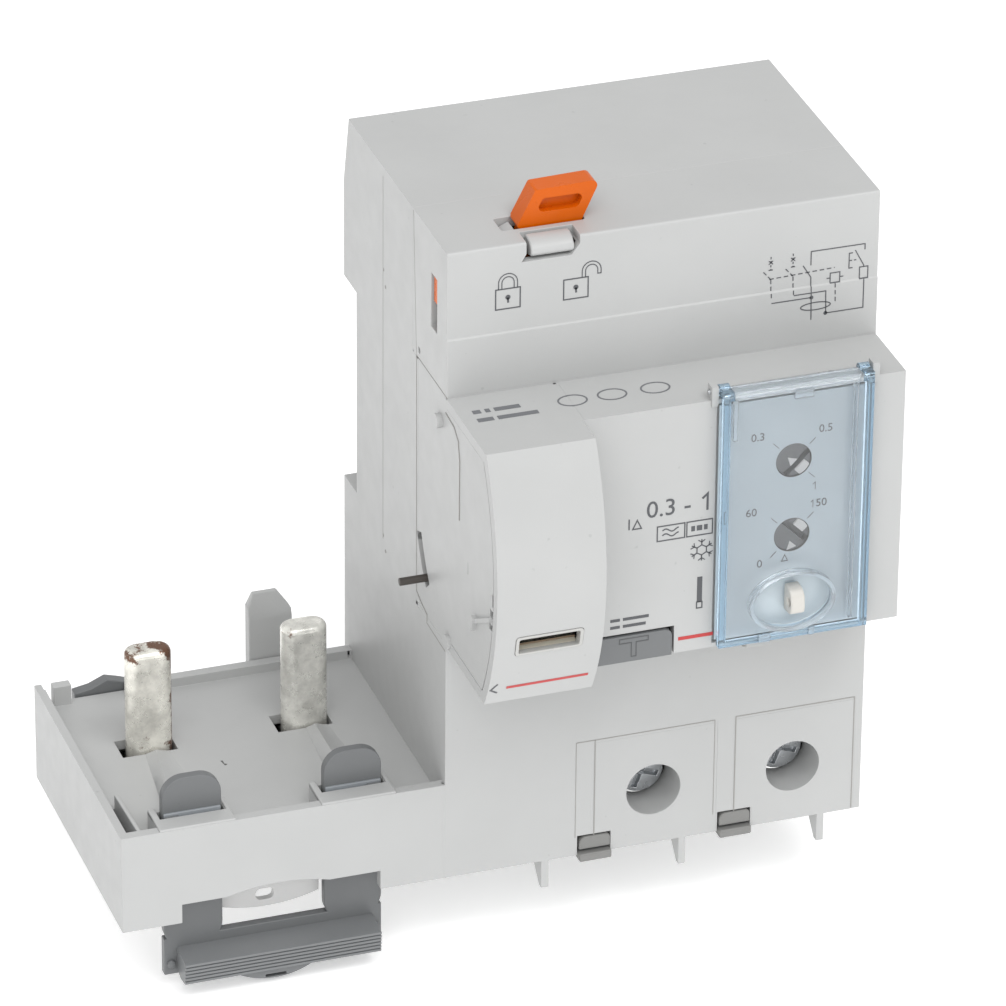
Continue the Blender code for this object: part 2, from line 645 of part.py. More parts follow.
def connection_tray():
    top, back = TRAY_TOP, TRAY_BACK
    left, right = TRAY_LEFT, TRAY_RIGHT
    depth = (SHOULDER_Y + WALL, back - WALL)
    tray = box("connection_tray", "housing", (left, right), (SHOULDER_Y, back), (BOTTOM_Z, top))
    cut(
        tray,
        hole((left + WALL, right - WALL), depth, (BOTTOM_Z - 1, DECK_Z - WALL)),
        hole((left + 1.4, right + 1), depth, (DECK_Z, top + 1)),
        hole((left + 5.8, -74.0), (back - 3, back + 1), (DECK_Z, top + 1)),
        hole((left + 1.2, left + 2.8), (back - 1.8, back + 1), (DECK_Z, top + 1)),
        hole((-74.1, right + 1), (back - 3, back + 1), (top - 1.9, top + 1)),
        hole((right - 3, right + 1), (-18, -5.5), (-63.2, -55.2)),
        hole((-79.4, -46.4), (SHOULDER_Y - 1, SHOULDER_Y + 3), (BOTTOM_Z - 1, -61.6)),
    )
    for post_left, post_right in LATCH_POSTS:
        pad_x = (post_left - 1.6, post_right + 1.2)
        fuse(tray, box("pad", None, pad_x, (-44.4, -38.9), (DECK_Z - 1, top)))
        cut(tray, hole((post_left - 0.4, post_right + 0.4), (-42.2, -39.8), (BOTTOM_Z, top + 1)))
    for blade_right in BLADE_RIGHTS:
        slot_x = (blade_right - BLADE_WIDTH - 1.3, blade_right + 0.3)
        slot_y = (BLADE_FRONT - 0.4, BLADE_BACK + 0.4)
        cut(tray, hole(slot_x, slot_y, (DECK_Z - 3, DECK_Z + 1)))
    cut(tray, hole((left + 1.4, left + 3.3), (-44.0, -31.0), (DECK_Z - 1.2, DECK_Z + 1)))
    arch = [(-71.9, -63.0), *arc((-63.4, -93.9), 33.4, 105, 75, 10), (-54.9, -63.0)]
    cut(tray, prism("arch", None, "Y", arch, SHOULDER_Y - 1, SHOULDER_Y + 3))


def tray_bottom_plate():
    plate = box(
        "tray_bottom_plate", "white_plastic", (TRAY_LEFT + WALL + GAP, TRAY_RIGHT - WALL - GAP),
        (-38.4, TRAY_BACK - WALL - GAP), (BOTTOM_Z, BOTTOM_Z + 1.5),
    )
    web = box("web", None, (-86, -39), (-38.4, -37.2), (BOTTOM_Z + 1, DECK_Z - WALL - GAP))
    fuse(plate, web)
    for x in TRAY_SCREWS:
        centre = (x, TRAY_SCREW_Y)
        cut(plate, bore("Z", centre, 1.4, BOTTOM_Z - 1, BOTTOM_Z + 3))
        cut(plate, bore("Z", centre, 2.4, BOTTOM_Z - 1, BOTTOM_Z + 0.9))
    return plate


def tray_screws():
    low = BOTTOM_Z + 0.05
    for index, x in enumerate(TRAY_SCREWS, 1):
        centre = (x, TRAY_SCREW_Y)
        screw = rod(f"tray_screw_{index}", "zinc_steel", "Z", centre, 2.1, low, low + 0.55)
        fuse(screw, rod("shank", None, "Z", centre, 1.1, low + 0.25, low + 6.95))
        cut(screw, hole(span(x, 1.6), span(TRAY_SCREW_Y, 0.3), (low - 1, low + 0.3)))


def breaker_latch():
    """Two rounded tongues through the deck, their posts, and a ribbed grip under the front wall."""
    low, high = LATCH_X
    latch = box("breaker_latch", "grey_plastic", (low, high), LATCH_Y, (-77, -70.2))
    level = TONGUE_TOP - TONGUE_R
    for left, right in LATCH_POSTS:
        outline = [
            (left, -70.6), (right, -70.6), *arc((right - TONGUE_R, level), TONGUE_R, 0, 90, 6),
            *arc((left + TONGUE_R, level), TONGUE_R, 90, 180, 6),
        ]
        fuse(latch, prism("post", None, "Y", outline, *LATCH_Y))
    grip = [
        (-41.2, -72.0), (-47.8, -72.5), (-48.7, -74.0), (-47.8, -76.0), (-45.2, -76.5), (-41.2, -75.8),
    ]
    fuse(latch, prism("grip", None, "X", grip, low + 2.1, high - 2.2))
    boss = arc((-63.8, -66.0), 12.5, 230, 310, 8)
    fuse(latch, prism("boss", None, "Y", boss, -45.0, LATCH_Y[0] + 0.6))
    return latch


def latch_bow():
    """White bow that returns the latch: a strip that sags in the middle, with a slot."""
    outline = [
        (-54.8, -59.8), (-72.1, -59.8), (-72.1, -66.6), (-69.4, -67.6), (-66.4, -68.4), (-60.6, -68.4),
        (-57.5, -67.6), (-54.8, -66.6),
    ]
    bow = prism("latch_bow", "white_plastic", "Y", outline, -39.9, -38.7)
    return cut(bow, hole(span(-63.9, 1.5), (-41, -38), span(-66.1, 1.0)))


def rear_guide():
    outline = [
        (-52.6, -60), (-52.6, -40.2), (-51.5, -38.0), (-47.4, -38.0), (-45.2, -41.2), (-45.2, -60),
    ]
    front, back = TRAY_BACK + GAP, TRAY_BACK + 2.6
    guide = prism("rear_guide", "housing", "Y", outline, front, back)
    slope = [(front - 1, -37), (back - 0.8, -37), (back - 0.8, -38), (front, -42.4), (front - 1, -42.4)]
    return cut(guide, prism("slope", None, "X", slope, -54, -44))


def rear_clip():
    outline = [
        (-82.4, -60), (-82.4, -50.7), (-79.6, -50.2), (-76.9, -49.0), (-74.8, -49.6), (-72.5, -50.4),
        (-70.5, -50.7), (-70.5, -60),
    ]
    return prism("rear_clip", "grey_plastic", "Y", outline, TRAY_BACK + GAP, TRAY_BACK + 2.4)


def rail_clip():
    """Sprung slider under the rail: its nose hooks behind the rail's lower edge."""
    outline = [
        (3.3, -68.0), (3.3, -18.3), (1.4, -18.3), (1.4, -15.3), (2.2, -15.3), (6.3, -18.4), (6.3, -68.0),
    ]
    clip = prism("rail_clip", "grey_plastic", "X", outline, -9.6, 9.6)
    return cut(clip, hole((-3, 3), (2, 8), (-67, -65.6)))


for thing in list(bpy.data.objects):
    bpy.data.objects.remove(thing, do_unlink=True)
parts = new_collection("residual_current_device")
cutters = new_collection("cutters")
materials = {name: make_material(name) for name in COLOURS}

main_housing()
case_screws()
upper_cover()
catch_tongue()
lock_lever()
lock_pivot()
nose_cover()
side_plate()
coupling_cover()
indicator_window()
trip_lever()
trip_flag()
trip_axle()
settings_plate()
settings_cover()
cover_hinge_pin()
sealing_lug()
selector("current_selector", KNOB_ZS[0], 135)
selector("delay_selector", KNOB_ZS[1], 225)
test_button()
test_spring()
electronics()
toroid()
relay()
for pole in (0, 1):
    input_blade(pole)
    terminal_bar(pole, 1 - pole)
    terminal(pole)
connection_tray()
tray_bottom_plate()
tray_screws()
breaker_latch()
latch_bow()
rear_guide()
rear_clip()
rail_clip()
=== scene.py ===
from math import atan2, cos, degrees, pi, radians, sin, tan

import bmesh
import bpy
from mathutils import Matrix, Vector


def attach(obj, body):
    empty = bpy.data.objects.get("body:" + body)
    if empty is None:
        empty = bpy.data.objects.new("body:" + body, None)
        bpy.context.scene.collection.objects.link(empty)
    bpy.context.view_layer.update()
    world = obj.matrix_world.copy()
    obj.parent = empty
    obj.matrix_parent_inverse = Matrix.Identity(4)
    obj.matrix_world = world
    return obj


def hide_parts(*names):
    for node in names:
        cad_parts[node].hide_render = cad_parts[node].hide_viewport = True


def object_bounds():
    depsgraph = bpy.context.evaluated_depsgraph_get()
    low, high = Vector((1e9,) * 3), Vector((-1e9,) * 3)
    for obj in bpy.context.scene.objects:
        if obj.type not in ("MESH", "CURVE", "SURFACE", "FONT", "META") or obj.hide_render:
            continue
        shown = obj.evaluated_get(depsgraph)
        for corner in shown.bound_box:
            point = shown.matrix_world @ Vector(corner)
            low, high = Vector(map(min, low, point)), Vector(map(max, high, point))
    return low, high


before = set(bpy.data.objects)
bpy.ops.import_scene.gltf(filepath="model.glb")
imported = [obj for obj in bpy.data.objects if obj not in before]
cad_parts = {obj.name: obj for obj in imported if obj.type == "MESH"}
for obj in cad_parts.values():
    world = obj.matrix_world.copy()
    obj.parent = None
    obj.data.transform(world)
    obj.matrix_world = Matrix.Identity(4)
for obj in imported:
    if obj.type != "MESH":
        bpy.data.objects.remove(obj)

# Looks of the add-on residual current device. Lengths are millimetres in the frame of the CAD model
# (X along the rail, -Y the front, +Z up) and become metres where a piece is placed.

MM = 0.001
GRAIN_DEPTH, SCRATCH_DEPTH = 0.00003, 0.00012  # metres
cad_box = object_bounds()
world_scene = bpy.context.scene

# Driving dimensions, the same as the CAD's
HALF = 35.6
SHOULDER_Y, NOSE_Y, SEAM_Y = -46, -59, -31.3
TOP_Z, NOSE_TOP, BOTTOM_Z = 47.2, 22.1, -65
CREASE = (32.1, 32.35)
NOSE_SPLIT_X = -17.8
BOW_RADIUS, BOW_Y = 44, -26.9
TRIP_PIVOT, AXLE_HOLE = (-55, -0.5), 1.28
WINDOW_X, WINDOW_Z = (-32.2, -21.1), (-11.7, -7.9)
LEVER_PIVOT, LEVER_Y = (-19.7, 38), (-40.5, -37)
KNOB_X, KNOB_ZS, KNOB_R = 17.2, (9.3, -4), 2.85
COVER_X, COVER_HINGE, SEAL_HOLE = (4.6, 29.5), (-58.4, 23.4), (16.8, -14.7)
BLADE_RIGHTS, BLADE_WIDTH, BLADE_Y, BLADE_TOP = (-71.4, -45.2), 7.6, (-15.8, -11.2), -33
STRAP_ZS, STRAP_ENDS = (-62.6, -58.4), (16.5, 9)
LATCH_X, LATCH_Y = (-81.3, -44.9), (-41.8, -40.2)
LATCH_POSTS = ((-81.3, -71.5), (-54.5, -44.9))
TONGUE_TOP, TONGUE_R = -40.8, 3.6
RIBS, RIB_PITCH = 6, 0.66
TERMINAL_X, TERMINAL_Z = (-0.2, 23.7), -55
TERMINAL_LEFTS, TERMINAL_RIGHTS = (-10.3, 13.7), (10.1, 34.1)
TERMINAL_COVER_TOP, SCREW_FRONT = -43.9, -39.6
DECK_Z, TRAY_TOP = -51.2, -47.6
RAMP_Y = (-16.3, -39.1)
PLATE_DROP = 0.15  # of the settings plate behind the nose's front
FLUSH = 0.03  # of seam fillers under the surface
RAMPS = (((-76.6, -79.4), (-74.9, -78.6), 7.5), ((-49.5, -51), (-48, -49.5), 5.5))


# Materials

class Finish:
    """The nodes of one material, which end in its Principled shader."""

    def __init__(self, name):
        self.material = bpy.data.materials.new(name)
        self.material.use_nodes = True
        self.nodes, self.links = self.material.node_tree.nodes, self.material.node_tree.links
        self.shader = self.nodes["Principled BSDF"]

    def fill(self, node, **values):
        """Gives a node's sockets, named with _ for a space, their values or links."""
        for key, value in values.items():
            socket = node.inputs[key.replace("_", " ")]
            if isinstance(value, bpy.types.NodeSocket):
                self.links.new(value, socket)
            else:
                socket.default_value = value
        return node

    def add(self, kind, **values):
        return self.fill(self.nodes.new("ShaderNode" + kind), **values)

    def noise(self, scale, detail=3, roughness=0.5, stretch=(1, 1, 1)):
        """Noise in the row frame; scale is in cycles a metre."""
        place = self.add("TexCoord").outputs["Object"]
        place = self.add("Mapping", Vector=place, Scale=stretch).outputs["Vector"]
        texture = self.add("TexNoise", Vector=place, Scale=scale, Detail=detail, Roughness=roughness)
        return texture.outputs["Fac"]

    def remap(self, value, low, high, to_low=0, to_high=1):
        step = self.add("MapRange", Value=value, From_Min=low, From_Max=high, To_Min=to_low, To_Max=to_high)
        return step.outputs["Result"]

    def blend(self, factor, first, second):
        """A mix of two colours, each of them given or linked."""
        mix = self.add("Mix", Factor=factor)
        mix.data_type = "RGBA"
        for socket, colour in ((mix.inputs[6], first), (mix.inputs[7], second)):
            if isinstance(colour, tuple):
                socket.default_value = (*colour, 1)
            else:
                self.links.new(colour, socket)
        return mix.outputs[2]

    def rise(self, stain, axis, low, high, weight):
        """The stain, and up to weight more as the object's own coordinate goes from low to high."""
        place = self.add("SeparateXYZ", Vector=self.add("TexCoord").outputs["Object"])
        ramp = self.remap(place.outputs[axis], low, high, 0, weight)
        step = self.add("Math")
        self.links.new(stain, step.inputs[0])
        self.links.new(ramp, step.inputs[1])
        return step.outputs[0]

    def bump(self, height, strength, distance):
        step = self.add("Bump", Height=height, Strength=strength, Distance=distance)
        self.fill(self.shader, Normal=step.outputs["Normal"])


def shade(colour, factor):
    return tuple(channel * factor for channel in colour)


def plastic(name, colour, rough=0.42, grain=0.3, spots=0.2, drift=0.02, sheen=0.45):
    """Moulded plastic: fine spark-eroded grain, slow colour drift and a few specks of dust."""
    look = Finish(name)
    slow = look.remap(look.noise(45, 4), 0.35, 0.65)
    tone = look.blend(slow, shade(colour, 1 - drift), shade(colour, 1 + drift))
    if spots:
        specks = look.remap(look.noise(760, 1), 0.76, 0.82, 0, spots)
        tone = look.blend(specks, tone, shade(colour, 0.4))
        scuffs = look.remap(look.noise(150, 6, 0.7), 0.64, 0.85, 0, spots * 0.4)
        tone = look.blend(scuffs, tone, shade(colour, 0.75))
    gloss = look.remap(look.noise(300), 0.3, 0.7, rough - 0.05, rough + 0.05)
    look.fill(look.shader, Base_Color=tone, Roughness=gloss, Specular_IOR_Level=sheen)
    look.bump(look.noise(4200, 2), grain, GRAIN_DEPTH)
    return look.material


def tinned(name, bright, tarnish, worn=()):
    """Tin plate with drawn scratches, and brown tarnish that the worn ramps add to."""
    look = Finish(name)
    cloud = look.remap(look.noise(350, 8, 0.65), 0.35, 0.65)
    base = look.blend(cloud, shade(bright, 0.64), bright)
    stain = look.noise(230, 9, 0.75)
    for ramp in worn:
        stain = look.rise(stain, *ramp)
    base = look.blend(look.remap(stain, 0.63, 0.68), base, tarnish)
    gloss = look.remap(look.noise(600, 6, 0.6), 0.3, 0.7, 0.2, 0.44)
    look.fill(look.shader, Base_Color=base, Roughness=gloss, Metallic=0.5)
    look.bump(look.noise(900, 8, 0.7, (1, 1, 0.25)), 0.4, SCRATCH_DEPTH)
    return look.material


def metal(name, colour, rough):
    """Plated steel or copper with fine turning marks."""
    look = Finish(name)
    tone = look.blend(look.remap(look.noise(500, 5), 0.3, 0.7), shade(colour, 0.82), colour)
    gloss = look.remap(look.noise(900, 4), 0.3, 0.7, rough - 0.08, rough + 0.1)
    look.fill(look.shader, Base_Color=tone, Roughness=gloss, Metallic=1)
    look.bump(look.noise(3000, 3, 0.6, (1, 1, 0.2)), 0.2, GRAIN_DEPTH)
    return look.material


def clear(name, colour, rough, transmission):
    """Clear plastic, a little uneven in its tint and its gloss."""
    look = Finish(name)
    tone = look.blend(look.remap(look.noise(140), 0.3, 0.7), shade(colour, 0.97), colour)
    gloss = look.remap(look.noise(500, 4), 0.4, 0.8, rough, rough + 0.06)
    look.fill(look.shader, Base_Color=tone, Roughness=gloss, IOR=1.5, Transmission_Weight=transmission)
    return look.material


# Each look's material, and the record's slot for it
looks = {
    "housing": (plastic("housing_plastic", (0.448, 0.453, 0.45)), "housing"),
    "white": (plastic("white_plastic", (0.66, 0.66, 0.655), spots=0.1), "white_plastic"),
    "cream": (plastic("cream_plastic", (0.72, 0.68, 0.57), spots=0.1), "white_plastic"),
    "grey": (plastic("latch_plastic", (0.148, 0.154, 0.158), 0.38), "grey_plastic"),
    # Painted light: the latch's own plastic, painted lighter for the light that falls on its grip and boss.
    "grip": (plastic("lit_latch_plastic", (0.185, 0.192, 0.197), 0.36), "grey_plastic"),
    # Painted highlight: the latch's plastic, painted lighter for the lip at each tongue's foot.
    "foot": (plastic("lit_latch_foot_plastic", (0.27, 0.29, 0.31)), "grey_plastic"),
    # Painted shade: the housing's plastic, painted darker for the groove beside the left pocket.
    "groove": (plastic("shaded_groove_plastic", (0.3, 0.305, 0.305), 0.5), "housing"),
    "tab": (plastic("tab_plastic", (0.205, 0.205, 0.198), spots=0.1), "tab_grey"),
    "dial": (plastic("dial_plastic", (0.155, 0.16, 0.165), 0.45, spots=0.05), "tab_grey"),
    "lug": (plastic("lug_plastic", (0.56, 0.545, 0.51), 0.45, spots=0.1), "white_plastic"),
    "orange": (
        plastic("orange_plastic", (0.6, 0.105, 0.001), 0.3, spots=0.05, drift=0.05, sheen=0.22),
        "orange_plastic",
    ),
    "plate": (plastic("settings_plate_print", (0.545, 0.62, 0.665), 0.35, 0.1, 0), "pale_plate"),
    "ink": (plastic("printed_ink", (0.085, 0.088, 0.095), 0.5, 0.1, 0), "component_black"),
    "pale_ink": (plastic("pale_ink", (0.15, 0.155, 0.165), 0.5, 0.1, 0), "component_black"),
    # Dim print, also used as painted shade in the grooves of the terminal tabs.
    "dim_ink_and_shade": (plastic("dim_ink_and_shade", (0.085, 0.088, 0.09), 0.6, 0.1, 0), "component_black"),
    "red": (plastic("red_print", (0.46, 0.04, 0.04), 0.4, 0.1, 0), "orange_plastic"),
    "rust": (plastic("rust_print", (0.3, 0.22, 0.15), 0.6, 0.1, 0), "orange_plastic"),
    "shadow": (plastic("seam_shadow", (0.12, 0.12, 0.115), 0.8, 0.1, 0), "component_black"),
    "soft_seam": (plastic("soft_seam", (0.3, 0.295, 0.28), 0.7, 0.1, 0), "tab_grey"),
    "flag_brown": (plastic("flag_plastic", (0.52, 0.49, 0.43), 0.35, spots=0.05), "tab_grey"),
    "bezel": (plastic("bezel_plastic", (0.46, 0.46, 0.445), 0.25, 0.1, 0), "clear_plastic"),
    "dark": (plastic("dark_pin_plastic", (0.06, 0.052, 0.046), 0.4, spots=0), "dark_pin"),
    "black": (plastic("component_plastic", (0.03, 0.03, 0.032), 0.5, spots=0), "component_black"),
    "board": (plastic("solder_mask", (0.02, 0.12, 0.05), 0.35, 0.2, 0), "board_green"),
    "tin": (tinned("tinned_copper", (0.91, 0.9, 0.84), (0.2, 0.11, 0.07)), "tinned_copper"),
    "tin_worn": (
        tinned(
            "tinned_copper_worn", (0.95, 0.93, 0.85), (0.15, 0.075, 0.045),
            (("Z", -0.0368, -0.033, 0.15), ("X", -0.073, -0.0712, 0.2)),
        ),
        "tinned_copper",
    ),
    "steel": (metal("zinc_plated_steel", (0.62, 0.64, 0.66), 0.3), "zinc_steel"),
    "copper": (metal("enamelled_copper", (0.55, 0.2, 0.07), 0.3), "enamelled_wire"),
    "core": (metal("core_strip", (0.09, 0.09, 0.1), 0.5), "ferrite"),
    "clear": (clear("clear_cover", (0.97, 0.985, 1), 0.02, 1), "clear_plastic"),
    "clear_edge": (clear("clear_cover_edge", (0.66, 0.85, 1), 0.06, 0.94), "clear_plastic"),
    "clear_rib": (clear("clear_cover_rib", (0.86, 0.93, 0.98), 0.22, 0.85), "clear_plastic"),
    "clear_window": (clear("clear_window", (0.95, 0.95, 0.93), 0.04, 1), "clear_plastic"),
}


# Shapes

def as_object(shape, closed=True):
    """The shape as an object; a closed one gets its faces turned outwards."""
    if closed:
        bmesh.ops.recalc_face_normals(shape, faces=shape.faces)
    mesh = bpy.data.meshes.new("shape")
    shape.to_mesh(mesh)
    shape.free()
    return linked("shape", mesh)


def linked(name, data):
    item = bpy.data.objects.new(name, data)
    world_scene.collection.objects.link(item)
    return item


def box(x, y, z):
    shape = bmesh.new()
    bmesh.ops.create_cube(shape, size=1)
    bmesh.ops.scale(shape, verts=shape.verts, vec=[high - low for low, high in (x, y, z)])
    bmesh.ops.translate(shape, verts=shape.verts, vec=[(low + high) / 2 for low, high in (x, y, z)])
    return as_object(shape)


def prism(axis, outline, start, end):
    """A flat outline, given along the two other axes in X, Y, Z order, extruded along axis."""
    across = ["XYZ".index(letter) for letter in "XYZ" if letter != axis]
    depth = "XYZ".index(axis)
    shape = bmesh.new()
    points = []
    for u, v in outline:
        point = [0, 0, 0]
        point[across[0]], point[across[1]], point[depth] = u, v, start
        points.append(shape.verts.new(point))
    grown = bmesh.ops.extrude_face_region(shape, geom=[shape.faces.new(points)])["geom"]
    push = Vector((0, 0, 0))
    push[depth] = end - start
    moved = [item for item in grown if isinstance(item, bmesh.types.BMVert)]
    bmesh.ops.translate(shape, verts=moved, vec=push)
    return as_object(shape)


def rod(axis, centre, radius, start, end, sides=40, tip=None):
    """A round rod or, with a tip radius, a cone."""
    shape = bmesh.new()
    bmesh.ops.create_cone(
        shape, cap_ends=True, segments=sides, radius1=radius, radius2=tip or radius, depth=end - start
    )
    tilts = {"X": Matrix.Rotation(pi / 2, 3, "Y"), "Y": Matrix.Rotation(-pi / 2, 3, "X")}
    bmesh.ops.rotate(shape, verts=shape.verts, matrix=tilts.get(axis, Matrix.Identity(3)))
    middle = list(centre)
    middle.insert("XYZ".index(axis), (start + end) / 2)
    bmesh.ops.translate(shape, verts=shape.verts, vec=middle)
    return as_object(shape)


def applied(item):
    graph = bpy.context.evaluated_depsgraph_get()
    mesh = bpy.data.meshes.new_from_object(item.evaluated_get(graph))
    item.modifiers.clear()
    old, item.data = item.data, mesh
    bpy.data.meshes.remove(old)
    return item


def combine(item, operation, tools):
    for tool in tools:
        step = item.modifiers.new("step", "BOOLEAN")
        step.operation = operation
        step.object = tool
    applied(item)
    for tool in tools:
        bpy.data.objects.remove(tool, do_unlink=True)
    return item


def cut(item, *tools):
    return combine(item, "DIFFERENCE", tools)


def fuse(item, *tools):
    return combine(item, "UNION", tools)


def gather(*items):
    """Joins shapes that don't touch into one mesh, with no Boolean."""
    shape = bmesh.new()
    for item in items:
        shape.from_mesh(item.data)
        bpy.data.objects.remove(item, do_unlink=True)
    return as_object(shape, False)


def turn(item, axis, angle, centre):
    """Turns a shape by degrees about an axis through centre."""
    move = Matrix.Translation(centre) @ Matrix.Rotation(radians(angle), 4, axis)
    item.data.transform(move @ Matrix.Translation(-Vector(centre)))
    return item


def soften(item, merge, flat, edge, segments=3, angle=32):
    """Merges points and flat faces, rounds the edges, and keeps the shading of flat faces flat."""
    weld = item.modifiers.new("merge", "WELD")
    weld.merge_threshold = merge
    dissolve = item.modifiers.new("flat_faces", "DECIMATE")
    dissolve.decimate_type = "DISSOLVE"
    dissolve.angle_limit = radians(flat)
    if edge:
        bevel = item.modifiers.new("rounded_edges", "BEVEL")
        bevel.width = edge * MM
        bevel.segments = segments
        bevel.limit_method = "ANGLE"
        bevel.angle_limit = radians(angle)
        bevel.use_clamp_overlap = True
    item.data.shade_smooth()
    weigh = item.modifiers.new("weighted_normals", "WEIGHTED_NORMAL")
    weigh.keep_sharp = True


def finished(item, name, look, body):
    """Names a shape in millimetres, brings it to metres, and gives it its look and its body."""
    item.name = item.data.name = name
    item.data.transform(Matrix.Scale(MM, 4))
    material, slot = looks[look]
    item.data.materials.clear()
    item.data.materials.append(material)
    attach(item, body)


def piece(item, name, look, edge=0.25, body="base", nodes=(), segments=3, angle=32):
    """A moulded piece, which stands for these CAD nodes."""
    finished(item, name, look, body)
    soften(item, 0.000002, 0.3, edge, segments, angle)
    if not edge:
        item.data.set_sharp_from_angle(angle=radians(angle))
    if nodes:
        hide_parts(*nodes)


def dress(node, look, edge):
    """A CAD node that is shown: merged, rounded and given its material."""
    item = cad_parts[node]
    for entry in item.material_slots:
        entry.material = looks[look][0]
    soften(item, 0.000005, 0.5, edge)


def arc(centre, radius, start, end, steps):
    found = []
    for step in range(steps + 1):
        angle = radians(start + (end - start) * step / steps)
        found.append((centre[0] + radius * cos(angle), centre[1] + radius * sin(angle)))
    return found


def band(centre, inner, outer, start, end, steps):
    return arc(centre, inner, start, end, steps) + arc(centre, outer, end, start, steps)


def filleted(points, radii, steps=5):
    """A polygon with its corners rounded by these radii."""
    outline = []
    for i, radius in enumerate(radii):
        here, before = Vector(points[i]), Vector(points[i - 1])
        after = Vector(points[(i + 1) % len(points)])
        if not radius:
            outline.append(tuple(here))
            continue
        into, out = (before - here).normalized(), (after - here).normalized()
        half = into.angle(out) / 2
        centre = here + (into + out).normalized() * radius / sin(half)
        first, last = here + into * radius / tan(half) - centre, here + out * radius / tan(half) - centre
        start = atan2(first.y, first.x)
        swing = atan2(first.x * last.y - first.y * last.x, first.dot(last))
        for step in range(steps + 1):
            angle = start + swing * step / steps
            outline.append((centre.x + radius * cos(angle), centre.y + radius * sin(angle)))
    return outline


def rounded(x, z, radius, steps=5):
    """Outline of a rectangle with rounded corners."""
    return filleted(corners(x, z), (radius,) * 4, steps)


def oval(centre, half_width, half_height, steps=48):
    return [
        (centre[0] + half_width * cos(2 * pi * i / steps), centre[1] + half_height * sin(2 * pi * i / steps))
        for i in range(steps)
    ]


def corners(x, z):
    return [(x[0], z[0]), (x[1], z[0]), (x[1], z[1]), (x[0], z[1])]


def span(middle, half):
    return middle - half, middle + half


# Printed marks: ribbons and figures that stand PRINT out of a face and reach INK_DEPTH into it

PRINT, INK_DEPTH = 0.05, 0.1
FIGURE_DEPTH, CAPITAL_HEIGHT = 0.06, 0.7


def ribbon(points, width, closed=False):
    """Outline of a line of this width through (X, Z) points, mitred at the corners."""
    count = len(points)
    left, right = [], []
    for i in range(count):
        here = Vector(points[i])
        before = Vector(points[i - 1]) if closed or i else here
        after = Vector(points[(i + 1) % count]) if closed or i < count - 1 else here
        into, out = here - before, after - here
        into = into.normalized() if into.length else out.normalized()
        out = out.normalized() if out.length else into
        across = Vector((-into.y - out.y, into.x + out.x)).normalized()
        reach = width / 2 / max(0.4, abs(across.dot(Vector((-out.y, out.x)))))
        left.append(here + across * reach)
        right.append(here - across * reach)
    return left, right


def upper_face(z):
    """Y of the upper cover's front at height z."""
    return SHOULDER_Y + 0.2 * min(1, max(0, (z - CREASE[0]) / (CREASE[1] - CREASE[0])))


def creased(points):
    """The points, and where the line between them crosses the crease."""
    found = [points[0]]
    for (x, z), (end_x, end_z) in zip(points, points[1:]):
        levels = [level for level in CREASE if (z - level) * (end_z - level) < 0]
        for level in sorted(levels, reverse=end_z < z):
            found.append((x + (end_x - x) * (level - z) / (end_z - z), level))
        found.append((end_x, end_z))
    return found


def line(points, width, y, closed=False):
    """A printed line on the front at y, which may be a function of Z."""
    if y is upper_face:
        points = creased([*points, points[0]])[:-1] if closed else creased(points)
    left, right = ribbon(points, width, closed)
    front = y if callable(y) else lambda z: y
    shape = bmesh.new()
    rows = []
    for a, b in zip(left, right):
        rows.append([
            shape.verts.new((p.x, front(p.y) + out, p.y))
            for p, out in ((a, -PRINT), (b, -PRINT), (b, INK_DEPTH), (a, INK_DEPTH))
        ])
    steps = len(rows) if closed else len(rows) - 1
    for i in range(steps):
        first, second = rows[i], rows[(i + 1) % len(rows)]
        for j in range(4):
            k = (j + 1) % 4
            shape.faces.new((first[j], first[k], second[k], second[j]))
    if not closed:
        shape.faces.new(rows[0])
        shape.faces.new(list(reversed(rows[-1])))
    return as_object(shape)


def lines(width, y, *paths, closed=False):
    return [line(path, width, y, closed) for path in paths]


def flat_line(points, width):
    """A printed line on top of the nose through (X, Y) points, closed."""
    item = line(points, width, 0, True)
    item.data.transform(Matrix.Translation((0, 0, NOSE_TOP)) @ Matrix.Rotation(-pi / 2, 4, "X"))
    return item


def dashes(start, end, width, y, dash=0.75, gap=0.45):
    start, end = Vector(start), Vector(end)
    length = (end - start).length
    way = (end - start) / length
    found, at = [], 0
    while at < length:
        stop = min(at + dash, length)
        found.append(line([start + way * at, start + way * stop], width, y))
        at = stop + gap
    return found


def figures(text, height, centre, y):
    """Figures on a front face, centred on (X, Z)."""
    curve = bpy.data.curves.new("figures", "FONT")
    curve.body = text
    curve.size = height / CAPITAL_HEIGHT
    curve.align_x = "CENTER"
    curve.align_y = "CENTER"
    curve.extrude = FIGURE_DEPTH
    curve.resolution_u = 4
    item = linked("figures", curve)
    graph = bpy.context.evaluated_depsgraph_get()
    mesh = bpy.data.meshes.new_from_object(item.evaluated_get(graph))
    bpy.data.objects.remove(item, do_unlink=True)
    place = Matrix.Translation((centre[0], y - PRINT + FIGURE_DEPTH, centre[1]))
    mesh.transform(place @ Matrix.Rotation(pi / 2, 4, "X"))
    return linked("shape", mesh)


def one(x, z, height, y, width=0.1):
    """The figure 1, its foot at (X, Z)."""
    top = z + height
    return line([(x - 0.3 * height, top - 0.26 * height), (x, top), (x, z)], width, y)


def printed(items, name, look="ink", body="base"):
    item = gather(*items) if len(items) > 1 else items[0]
    item.data.shade_flat()
    finished(item, name, look, body)


# Upper front

